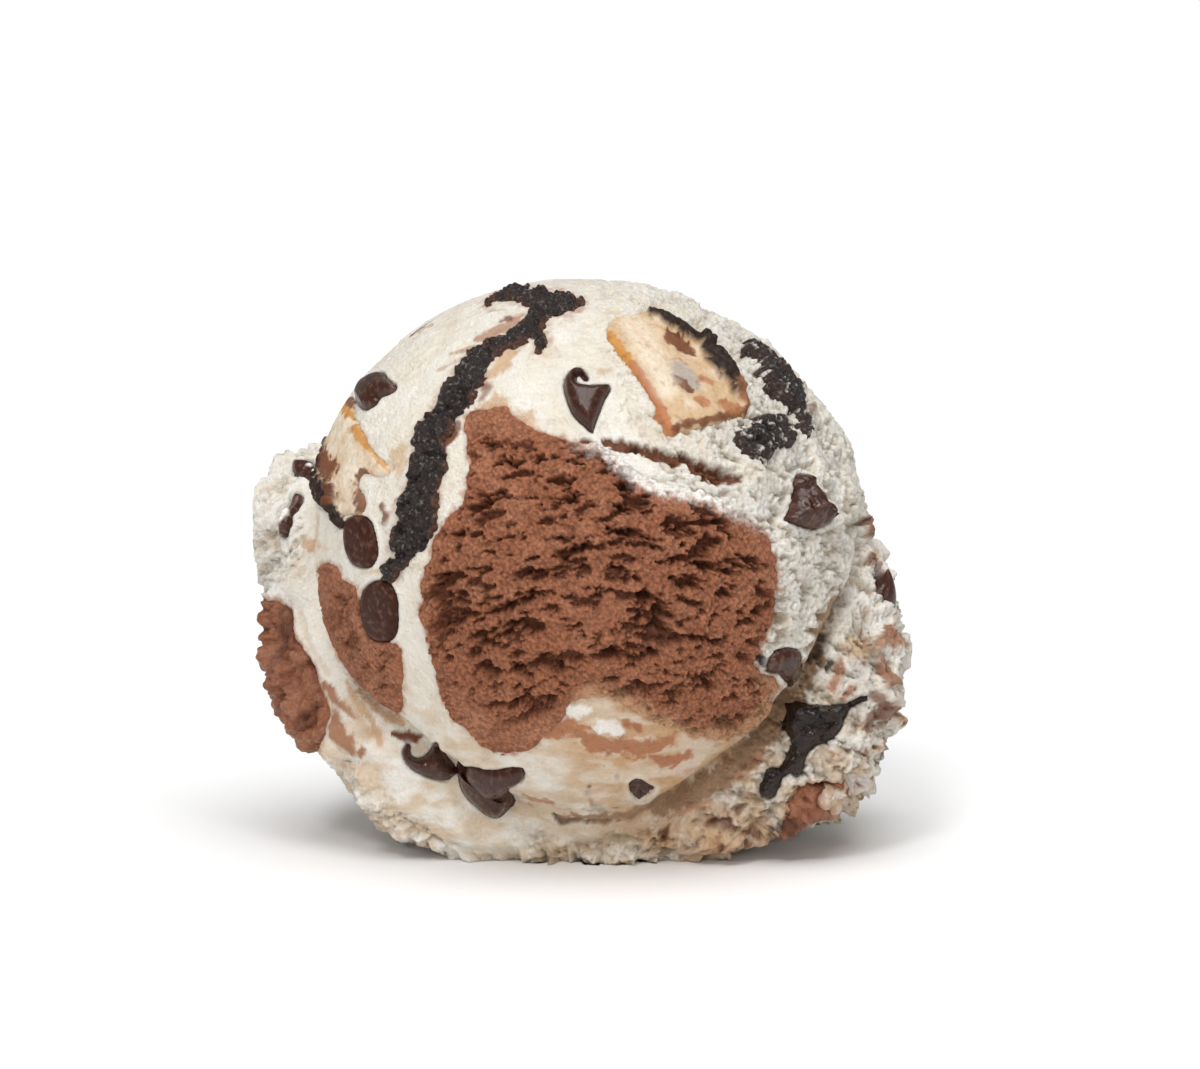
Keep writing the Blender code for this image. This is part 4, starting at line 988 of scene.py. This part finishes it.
def ball_grid(count):
    """(directions, quads) of a cube's grid blown up to a ball, gathered towards the eye and at the groove."""
    step = np.arange(count + 1)
    u, v = np.meshgrid(step, step, indexing="ij")
    quad = grid_quads(np.arange((count + 1) ** 2).reshape(count + 1, count + 1))
    points, quads = [], []
    for axis, high in itertools.product(range(3), (0, count)):
        face = [None] * 3
        face[axis] = np.full_like(u, high)
        face[(axis + 1) % 3], face[(axis + 2) % 3] = u, v
        points.append(np.stack(face, -1).reshape(-1, 3))
        quads.append((quad if high else quad[:, ::-1]) + len(quads) * (count + 1) ** 2)
    points, place = np.unique(np.vstack(points), axis=0, return_inverse=True)
    quads = place.ravel()[np.vstack(quads)]
    ball = unit(np.tan((points * 2.0 / count - 1.0) * math.pi / 4.0))
    towards = ball @ TOWARDS
    away = np.arccos(np.clip(towards, -1.0, 1.0))
    gathered = away - FRONT_SHARE * np.sin(away)
    flat = ball - towards[:, None] * TOWARDS
    flat /= np.maximum(np.linalg.norm(flat, axis=1), 1e-9)[:, None]
    steep = np.radians(round_table(GROOVE_ANGLE, seen_angles(ball)[1]) + 4.0)
    ends = np.array([[0.0], [math.pi]])
    at_start, at_end = ends + STEEP_SHARE * np.tanh((ends - steep) / STEEP_SHARE * 2.0)
    low, high = np.zeros(len(ball)), np.full(len(ball), math.pi)
    for _ in range(20):
        away = (low + high) / 2.0
        reached = away + STEEP_SHARE * np.tanh((away - steep) / STEEP_SHARE * 2.0)
        past = (reached - at_start) / (at_end - at_start) * math.pi > gathered
        low, high = np.where(past, low, away), np.where(past, away, high)
    return np.sin(away)[:, None] * flat + np.cos(away)[:, None] * TOWARDS, quads


def part_of(quads, keep, *values):
    """The quads kept, after only those values of the points that they use."""
    used, quads = np.unique(quads[keep], return_inverse=True)
    return *(v[used] for v in values), quads.reshape(-1, 4)


def drop_rims(survey):
    """(dip, rim) of the ice cream under and round each whole chip, at shares of the chip's diameter."""
    dip, rim = np.zeros(len(survey.plain)), np.zeros(len(survey.plain))
    for _, right, up, side, diameter, _, _, _, _ in DROPS:
        out = direction_seen_at(right, up, side)
        away = np.linalg.norm(survey.plain - (CENTRE + out * plain_radius(out[None])[0]), axis=1)
        dip = np.maximum(dip, 1.0 - smooth(0.3, 0.48, away / diameter))
        rim = np.maximum(rim, bell((away / diameter - 0.58) / 0.13))
    return dip, rim


def vanilla_relief(survey):
    """(height, painted shade in its pits and gaps) of the wiped, torn and lumpy ice cream."""
    points = survey.plain
    collar = np.maximum(smooth(1.5, 6.0, survey.groove) * survey.grooved, smooth(96.0, 112.0, survey.away))
    collar = np.maximum(collar, smooth(5.5, 3.0, points[:, 2]))
    side = smooth(0.15, 0.6, survey.directions[:, 0] + 0.3 * survey.directions[:, 2]) * (1.0 - collar)
    calm = 1.0 - np.maximum(side, collar)
    band = smooth(-6.5, -4.5, survey.groove) * smooth(1.2, 0.0, survey.groove) * survey.grooved
    left = smooth(176.0, 190.0, survey.clock) * smooth(268.0, 246.0, survey.clock)
    left *= smooth(-4.0, -1.0, survey.groove) * smooth(11.0, 6.0, survey.groove)
    band = np.maximum(band, 0.95 * left)
    still = (1.0 - 0.95 * band) * (1.0 - 0.7 * smooth(-1.1, -0.2, survey.most_inside("chip")))
    lower = smooth(196.0, 222.0, survey.clock) * smooth(288.0, 266.0, survey.clock)
    lower *= smooth(6.0, 12.0, points[:, 2])
    right = smooth(262.0, 290.0, survey.clock) + smooth(40.0, 20.0, survey.clock)
    moved = bent(points, 1.3, 0.6)
    large, middle, small = grains(moved, 3.9, 2.0), grains(moved, 1.9, 6.0), grains(points, 1.0, 3.0)
    grain = grains(points, 0.55, 9.0)
    pits, nicks = tears(points, 2.0, 20.0), tears(points, 1.1, 45.0)
    arcs = along_arcs(survey, 0.9, 7.0, 3, 90.0)
    crags = 1.2 * (large - 0.62) + 1.1 * (middle - 0.62) + 0.9 * (small - 0.7) - 1.3 * pits - 0.8 * nicks
    height = collar * crags * (1.0 - 0.7 * lower)
    height += side * (0.15 * (middle - 0.6) + 0.25 * (small - 0.7) - 1.0 * pits - 0.8 * nicks)
    height += calm * (0.15 * arcs + 0.1 * (small - 0.7) - 0.15 * pits - 0.1 * nicks)
    height += (0.08 + 0.55 * np.maximum(side, collar)) * (grain - 0.7)
    height = height * still + band * 0.12 * along_arcs(survey, 0.6, 16.0, 3, 66.0)
    height -= (0.8 + 0.9 * right) * survey.grooved * bell((survey.groove - 0.6) / 1.3)
    # painted shade: how far the pits, nicks and gaps between grains darken the colour
    gap_shade = np.maximum(np.maximum(pits, 0.8 * nicks), 0.6 * smooth(0.75, 0.4, grain))
    return height, gap_shade * (0.12 + 0.75 * side + 0.75 * collar) * still * (1.0 - 0.6 * lower)


def vanilla_tint(survey, crease_shade):
    """The colour of the vanilla: cream, with stains round what is mixed into it, painted shade in its pits
    and gaps and on its right side, and tan on the lower front that is partly stain and partly painted shade.
    """
    points = survey.plain
    right, up = survey.place["front"].T
    there = smooth(100.0, 90.0, survey.away)
    cloud = layered(points, 5.0, 4, 3.0)
    streak = layered(points / (2.2, 2.2, 1.0), 2.0, 4, 13.0)
    tint = mix(CREAM, MILK, 0.6 * survey.rough + 0.7 * cloud + 0.25)
    tint = mix(tint, TAN, 0.35 * smooth(0.15, 0.5, streak) * smooth(0.0, 0.4, -cloud))
    swirl = survey.most_inside("cookie_swirl")
    halo = smooth(-1.4, 0.1, swirl + 1.2 * survey.fray) * smooth(-0.35, 0.35, cloud)
    tint = mix(tint, STAIN, 0.75 * halo)
    crumbs = survey.most_inside("crumb")
    tint = mix(tint, STAIN, 0.4 * smooth(-0.6, 0.1, crumbs + 0.5 * survey.fray))
    chocolate = survey.most_inside("chocolate")
    frosty = smooth(-4.0, 3.0, right) * smooth(2.0, 7.0, up) * there
    tint = mix(tint, STAIN, 0.75 * smooth(-0.9, 0.1, chocolate + 0.8 * survey.fray) * (1.0 - frosty))
    tint = mix(tint, MILK, 0.8 * frosty * smooth(-4.0, -1.0, chocolate))
    # the lower front: tan streaks, partly stain and partly painted shade
    low = smooth(-12.0, -24.0, up) * there
    tint = mix(tint, TAN, 0.75 * low * smooth(-0.35, 0.3, streak))
    marble = smooth(13.0, 5.0, np.hypot((right - 8.0) * 0.8, up + 22.5)) * there
    tint = mix(tint, CARAMEL, marble * (0.5 + 0.5 * smooth(-0.15, 0.25, streak + 0.25 * cloud)))
    under = smooth(-29.5, -32.0, up) * smooth(-1.0, 4.0, right) * there
    tint = mix(tint, CARAMEL, 0.75 * under * smooth(-0.4, 0.2, cloud))
    # painted shade: the side facing right is darkened by up to 7%
    tint = tint * (1.0 - 0.07 * smooth(0.1, 0.5, survey.directions[:, 0]) * there)[:, None]
    collar = smooth(2.0, 9.0, survey.groove) * smooth(262.0, 300.0, survey.clock)
    fleck = layered(points, 1.5, 4, 101.0)
    tint = mix(tint, SMEAR, 0.55 * collar * smooth(0.28, 0.40, streak + 0.5 * fleck))
    tint = mix(tint, SYRUP, 0.9 * collar * smooth(0.34, 0.44, fleck + 0.3 * cloud))
    tint = mix(tint, COCOA, 0.8 * collar * smooth(0.50, 0.56, fleck - 0.3 * cloud))
    back = smooth(100.0, 115.0, survey.away)
    tint = mix(tint, SMEAR, 0.8 * back * smooth(0.12, 0.34, streak + 0.3 * cloud))
    biscuit = survey.most_inside("biscuit")
    tint = mix(tint, GOLD, 0.30 * smooth(-0.8, 0.0, biscuit) * smooth(-0.1, 0.3, cloud))
    # painted shade: the colour darker and warmer in the pits and gaps
    return mix(tint, tint * (0.84, 0.76, 0.66), crease_shade)


def make_vanilla():
    directions, quads = ball_grid(BODY_GRID)
    hidden = np.zeros(len(directions), bool)
    for name in ("chocolate_front", "chocolate_back"):
        hidden |= depth_in(SHAPES[name], seen_place(directions, INLAYS[name][0])) > HIDDEN_DEPTH
    directions, quads = part_of(quads, ~hidden[quads].all(1), directions)
    survey = Survey(directions)
    coarse, rough = survey.lumps, survey.rough
    fine, crease_shade = vanilla_relief(survey)
    tint, fine = paint(survey, VANILLA_MARKS, vanilla_tint(survey, crease_shade), fine)
    chips = survey.most_inside("chip")
    others = survey.most_inside("biscuit", "chocolate", "cookie", "crumb", "fudge")
    dip, rim = drop_rims(survey)
    milk = np.maximum(rim, bell((chips + 0.3) / 0.3))
    height = coarse + fine - INLAY_DIP * smooth(-0.1, 0.6, others) - CHIP_DIP * smooth(0.0, 0.35, chips)
    height += MILK_RIM * milk * (1.0 - smooth(-0.1, 0.2, others)) - DROP_DIP * dip
    points = survey.plain + survey.normals * height[:, None]
    hang = HANG * rough * layered(survey.plain, 1.7, 2, 33.0)
    points[:, 2] -= hang * smooth(3.0, 9.0, points[:, 2])
    round_foot = FOOT_RING * unit(survey.plain * (1.0, 1.0, 0.0) + (1e-6, 0.0, 0.0))
    under = smooth(2.4, 0.3, points[:, 2]) * smooth(-0.35, 0.15, layered(round_foot, 3.4, 3, 37.0))
    points[:, :2] *= 1.0 - UNDERCUT * under[:, None]
    tint = mix(tint, MILK, 0.3 * milk)
    deep = np.maximum(chips - 0.6, others - 1.3)
    shown = deep[quads].min(1) < 0.0
    away, groove = survey.away[quads].mean(1), survey.groove[quads].mean(1)
    ball = (groove < BALL_END) & (away < FRONT_END)
    parts = {
        "vanilla_ball": ball,
        "vanilla_collar": ~ball & (away < FRONT_END),
        "vanilla_back": away >= FRONT_END,
    }
    for name, keep in parts.items():
        own, colours, faces = part_of(quads, keep & shown, points, tint)
        stands_for = ("vanilla_ice_cream",) if name == "vanilla_ball" else ()
        piece(name, own, faces, VANILLA_LOOK, stands_for, colours)


def patch_grid(name, step):
    """(directions, quads) of a flat grid laid over an inlay's outlines and strokes."""
    side = INLAYS[name][0]
    wide = max(s[:, 2].max() if s.shape[1] == 3 else 0.0 for s in SHAPES[name])
    rays = np.array([direction_seen_at(right, up, side) for s in SHAPES[name] for right, up in s[::2, :2]])
    middle = rays.mean(0) / np.linalg.norm(rays.mean(0))
    across = np.cross(middle, UPWARDS)
    across /= np.linalg.norm(across)
    axes = np.array([across, np.cross(across, middle)])
    flat = (rays / (rays @ middle)[:, None]) @ axes.T * BALL_RADIUS
    low, high = flat.min(0) - GRID_MARGIN - wide, flat.max(0) + GRID_MARGIN + wide
    count = np.ceil((high - low) / step).astype(int)
    u, v = np.meshgrid(*(np.linspace(low[k], high[k], count[k] + 1) for k in (0, 1)), indexing="ij")
    directions = unit(middle + (u.ravel()[:, None] * axes[0] + v.ravel()[:, None] * axes[1]) / BALL_RADIUS)
    quads = grid_quads(np.arange(u.size).reshape(u.shape).T)
    about = depth_in(SHAPES[name], seen_place(directions, side))
    return part_of(quads, about[quads].max(1) > -PATCH_MARGIN - EDGE_WANDER, directions)


def patch(name, step, form, material):
    """An inlay's surface: the scoop's, with heights and colours of its own, running in under the vanilla."""
    directions, quads = patch_grid(name, step)
    survey = Survey(directions)
    inside = survey.inside[name]
    coarse = survey.lumps
    height, hang, tint = form(name, survey)
    if name in CHIP_SHAPES:
        coarse = np.full_like(coarse, coarse[inside > 0.3].mean())
    else:
        height = height - CHIP_DIP_IN_INLAY * smooth(0.0, 0.3, survey.most_inside("chip"))
    height = coarse + height - EDGE_DIP * smooth(0.05, -PATCH_MARGIN, inside)
    points = survey.plain + survey.normals * height[:, None]
    points[:, 2] -= hang
    points, tint, quads = part_of(quads, inside[quads].max(1) > -PATCH_MARGIN, points, tint)
    piece(name + "_top", points, quads, material, (name,), tint)


def torn_chocolate(name, survey):
    points, inside = survey.plain, survey.inside[name]
    right, up = survey.place["front"].T
    calm = depth_in([np.array(stroke) for stroke in CALM_CHOCOLATE], survey.place["front"])
    calm = np.maximum(smooth(-1.2, 0.8, calm), 0.65 if name == "chocolate_left" else 0.0)
    big, small = tears(points, 2.0), tears(points, 1.1, 7.0)
    grain, fine = grains(points, 1.0, 5.0), grains(points, 0.42, 8.0)
    torn = (1.0 - 0.8 * calm) * (0.35 + 0.65 * smooth(0.0, 2.0, inside))
    height = 0.35 + torn * (0.45 * layered(points, 1.8, 3, 2.0) - 1.6 * big - 0.9 * small)
    height += (0.25 + 0.75 * torn) * (0.35 * (grain - 0.7) + 0.32 * (fine - 0.7))
    cloud = layered(points, 3.0, 4, 29.0)
    tint = mix(CHOCOLATE, CHOCOLATE_PALE, 0.1 + 0.35 * smooth(-0.1, 0.5, cloud) + 0.2 * calm)
    # painted light and shade: lighter on the tops of the fine grains, darker where they meet
    tint = tint * (0.80 + 0.5 * smooth(0.5, 0.98, fine))[:, None]
    # painted shade: the torn pits darkened
    tint = mix(tint, CHOCOLATE_HOLLOW_SHADE, 0.85 * np.maximum(big, small) * torn)
    if name == "chocolate_front":
        frost = smooth(-4.0, 3.0, right) * smooth(2.0, 7.0, up)
        tint = mix(tint, MILK, frost * smooth(2.0, 0.2, inside + 1.3 * survey.fray))
        marble = smooth(-4.0, 0.0, right) * smooth(-13.0, -17.0, up)
        tint = mix(tint, CARAMEL, 0.6 * marble * smooth(2.2, 0.0, inside + 1.6 * survey.fray))
    return height, 0.12 * (height + 0.4), tint


def wet_chocolate(name, survey):
    points, inside = survey.plain, survey.inside[name]
    moved = bent(points, 1.2, 0.5)
    large, small = grains(moved, 2.6, 3.0), grains(moved, 1.2, 5.0)
    height = -0.3 + 0.9 * rounded(inside, 1.0) + 1.3 * (large - 0.7) + 0.9 * (small - 0.7)
    height += 0.25 * layered(points, 0.9, 3, 30.0) - 0.9 * tears(points, 1.6, 61.0)
    tint = mix(CHOCOLATE, CHOCOLATE_PALE, 0.3 + layered(points, 1.2, 3, 12.0))
    # painted shade: darker where the lumps meet
    return height, 0.0, 0.85 * mix(tint, CHOCOLATE_HOLLOW_SHADE, 0.8 * smooth(0.75, 0.4, large))


def crumbly(name, survey):
    """Dark cookie crumb, pressed into the ice cream."""
    points, inside = survey.plain, survey.inside[name]
    moved = bent(points, 0.8, 0.3)
    large, middle, small = grains(moved, 1.7, 11.0), grains(moved, 0.85, 6.0), grains(points, 0.45, 3.0)
    height = 0.35 + 0.75 * (large - 0.62) + 0.5 * (middle - 0.6) + 0.25 * (small - 0.6)
    height = height - 0.6 * tears(points, 1.7, 23.0) + (0.5 if name.startswith("crumb") else 0.0)
    brown = 0.12 if name.startswith("crumb") else 0.4
    tint = mix(COOKIE, BAKED, brown * smooth(0.15, -0.2, inside + 0.9 * survey.fray))
    if name.startswith("crumb"):
        white = smooth(0.26, 0.36, survey.fray)
        tint, height = mix(tint, MILK, 0.7 * white), height + 0.15 * white
    return height, 0.0, tint


def poured_fudge(name, survey):
    points, inside = survey.plain, survey.inside[name]
    moved = bent(points, 1.4, 0.5)
    height = -0.5 + 1.5 * rounded(inside, 1.1) + 1.4 * (grains(moved, 2.4, 4.0) - 0.75)
    height += 0.5 * (grains(moved, 1.1, 9.0) - 0.75) + 0.25 * layered(points, 2.2, 2, 47.0)
    return height, 0.0, np.broadcast_to(COOKIE, points.shape)


def flat_biscuit(name, survey):
    points, inside = survey.plain, survey.inside[name]
    cloud = layered(points, 2.4, 4, 12.0)
    pale = 0.05 if name == "biscuit_right" else 0.4
    tint = mix(BISCUIT, CREAM, pale + 0.7 * cloud)
    height = -0.1 + 0.4 * rounded(inside, 0.7) + 0.10 * layered(points, 2.5, 3, 66.0)
    tint, height = paint(survey, BISCUIT_MARKS[name], tint, height)
    dark = smooth(0.35, 0.12, tint.sum(1))
    height += 0.15 * (grains(points, 0.6, 4.0) - 0.7) + 0.7 * dark * (grains(points, 1.1, 4.0) - 0.7)
    return height, 0.0, mix(tint, tint * (0.7, 0.62, 0.5), 0.6 * smooth(0.1, 0.45, survey.fray))


def flush_chip(name, survey):
    """A chip of the shape that the eye sees, sunk in the ice cream."""
    points, inside = survey.plain, survey.inside[name]
    _, rise, radius, bloom = CHIP_SHAPES[name]
    height = -0.7 + (rise + 0.7) * rounded(inside, radius) + 0.10 * layered(points, 2.0, 2, 31.0)
    if name == "chip_nub":
        height += GROOVE_DEPTH * survey.grooved * bell(survey.groove / GROOVE_WIDTH)
    if name == "chip_cone":
        height += 0.75 * smooth(0.1, 0.8, inside) * layered(points / (1.0, 1.0, 2.0), 0.8, 4, 17.0)
    if name == "chip_pit":
        height += 0.9 * (grains(points, 0.8, 3.0) - 0.8) - 0.5 * smooth(0.2, 0.9, inside)
    film = smooth(0.15, 0.5, layered(points, 0.7, 4, 51.0) + bloom) * (0.2 + bloom)
    tint = mix(CHIP, BLOOM, film)
    if name.startswith("chip_rim"):
        milk = smooth(0.02, 0.2, layered(points, 2.2, 3, 72.0))
        tint, height = mix(tint, MILK, 0.9 * milk), height + 0.15 * milk
    return height, 0.0, tint


def surface_frame(right, up, side, lean, clock, sink):
    """The matrix of a piece set into the surface there, as in the part's source."""
    out = direction_seen_at(right, up, side)
    along = side_axes(side)[0]
    east = along - out * (out @ along)
    east /= np.linalg.norm(east)
    north = np.cross(out, east)
    lean, clock = math.radians(lean), math.radians(clock)
    flat = math.cos(clock) * east + math.sin(clock) * north
    tip = Vector(math.cos(lean) * out + math.sin(lean) * flat)
    aside = tip.cross(Vector(out)).normalized() if math.sin(lean) > 0.05 else Vector(east)
    turned = Matrix((aside, tip.cross(aside), tip)).transposed().to_4x4()
    place = CENTRE + out * (plain_radius(out[None])[0] - sink)
    return Matrix.Translation(Vector(place)) @ turned


def make_drops():
    """Each whole chip: a drop of chocolate turned on a flat base, its tip bent over."""
    profile = np.array(DROP_PROFILE)
    reach = np.concatenate([[0.0], np.cumsum(np.linalg.norm(np.diff(profile, axis=0), axis=1))])
    fine = np.linspace(0.0, reach[-1], DROP_RINGS + 1)
    across, level = (np.interp(fine, reach, profile[:, k]) for k in (0, 1))
    for _ in range(2):
        across[1:-1] = (across[:-2] + 2.0 * across[1:-1] + across[2:]) / 4.0
        level[1:-1] = (level[:-2] + 2.0 * level[1:-1] + level[2:]) / 4.0
    turn = np.linspace(0.0, math.tau, DROP_SIDES, endpoint=False)
    ring = [across[:, None] * np.cos(turn), across[:, None] * np.sin(turn), level[:, None] + 0.0 * turn]
    drop = np.stack(ring, -1).reshape(-1, 3)
    corner = np.arange(len(drop)).reshape(DROP_RINGS + 1, DROP_SIDES)
    quads = grid_quads(np.hstack([corner, corner[:, :1]]))
    for number, (name, right, up, side, diameter, height, lean, clock, sink) in enumerate(DROPS):
        uneven = 0.10 * noise(drop * 1.3 + 11.0 * number) + 0.03 * noise(drop * 4.0 + 7.0)
        points = drop * (diameter / 2.0, diameter / 2.0, height) * (1.0 + uneven)[:, None]
        raised = np.maximum(0.0, points[:, 2] / height + 0.1)
        points[:, 1] += TIP_BEND * diameter * raised**2
        tint = mix(CHIP, BLOOM, 0.3 * smooth(0.1, 0.5, layered(points, 1.5, 4, 51.0)))
        place = np.array(surface_frame(right, up, side, lean, clock, sink))
        points = points @ place[:3, :3].T + place[:3, 3]
        piece(name + "_drop", points, quads, CHIP_LOOK, (name,), tint)


make_vanilla()
patch("chocolate_front", CHOCOLATE_STEP, torn_chocolate, CHOCOLATE_LOOK)
patch("chocolate_back", BACK_STEP, torn_chocolate, CHOCOLATE_LOOK)
patch("chocolate_left", CHOCOLATE_STEP, torn_chocolate, CHOCOLATE_LOOK)
patch("chocolate_rim_left", CHOCOLATE_STEP, wet_chocolate, WET_CHOCOLATE_LOOK)
patch("chocolate_rim_right", RIM_STEP, wet_chocolate, WET_CHOCOLATE_LOOK)
for cookie in ("cookie_swirl_front", "cookie_swirl_lobe", "cookie_swirl_back", "crumb_strip", "crumb_lump"):
    patch(cookie, CRUMB_STEP, crumbly, COOKIE_LOOK)
patch("fudge_rim", CRUMB_STEP, poured_fudge, FUDGE_LOOK)
for biscuit in BISCUIT_MARKS:
    patch(biscuit, BISCUIT_STEP, flat_biscuit, BISCUIT_LOOK)
for chip in CHIP_SHAPES:
    patch(chip, CHIP_STEP, flush_chip, FLAT_CHIP_LOOK if "disc" in chip else CHIP_LOOK)
make_drops()


# The studio


def studio():
    scene = bpy.context.scene
    scene.view_settings.view_transform = "Standard"
    world = bpy.data.worlds.new("studio")
    scene.world = world
    world.use_nodes = True
    tree = world.node_tree
    background = tree.nodes["Background"]
    background.inputs["Color"].default_value = (1.0, 1.0, 1.0, 1.0)
    background.inputs["Strength"].default_value = SKY_LIGHT
    backdrop = tree.nodes.new("ShaderNodeBackground")
    backdrop.inputs["Color"].default_value = (1.0, 1.0, 1.0, 1.0)
    path, either = tree.nodes.new("ShaderNodeLightPath"), tree.nodes.new("ShaderNodeMixShader")
    tree.links.new(path.outputs["Is Camera Ray"], either.inputs["Fac"])
    tree.links.new(background.outputs[0], either.inputs[1])
    tree.links.new(backdrop.outputs[0], either.inputs[2])
    tree.links.new(either.outputs[0], tree.nodes["World Output"].inputs["Surface"])

    mesh = bpy.data.meshes.new("floor")
    half = FLOOR_HALF
    corners = [(-half, -half), (half, -half), (half, half), (-half, half)]
    mesh.from_pydata([(x, y, FLOOR_LEVEL * MM) for x, y in corners], [], [range(4)])
    white = Nodes("white_floor")
    white.set(base_color=FLOOR_WHITE, roughness=0.9, specular_ior_level=0.0)
    mesh.materials.append(white.material)
    floor = placed("floor", mesh)

    for name, strength, spread, direction in LAMPS:
        light = bpy.data.lights.new(name, "SUN")
        light.energy, light.angle = strength, math.radians(spread)
        lamp = placed(name, light)
        lamp.rotation_euler = Vector(direction).to_track_quat("-Z", "Y").to_euler()
        lamp.visible_glossy = name != "fill"

    lens = bpy.data.cameras.new("camera")
    lens.lens, lens.sensor_width = LENS_LENGTH, SENSOR_WIDTH
    view_width = EYE_DISTANCE * SENSOR_WIDTH / LENS_LENGTH
    lens.shift_x, lens.shift_y = PICTURE_RIGHT / view_width, PICTURE_UP / view_width
    lens.clip_start = 0.01
    camera = placed("camera", lens)
    camera.location = Vector((CENTRE + TOWARDS * EYE_DISTANCE) * MM)
    camera.rotation_euler = Vector(-TOWARDS).to_track_quat("-Z", "Y").to_euler()
    scene.camera = camera


studio()
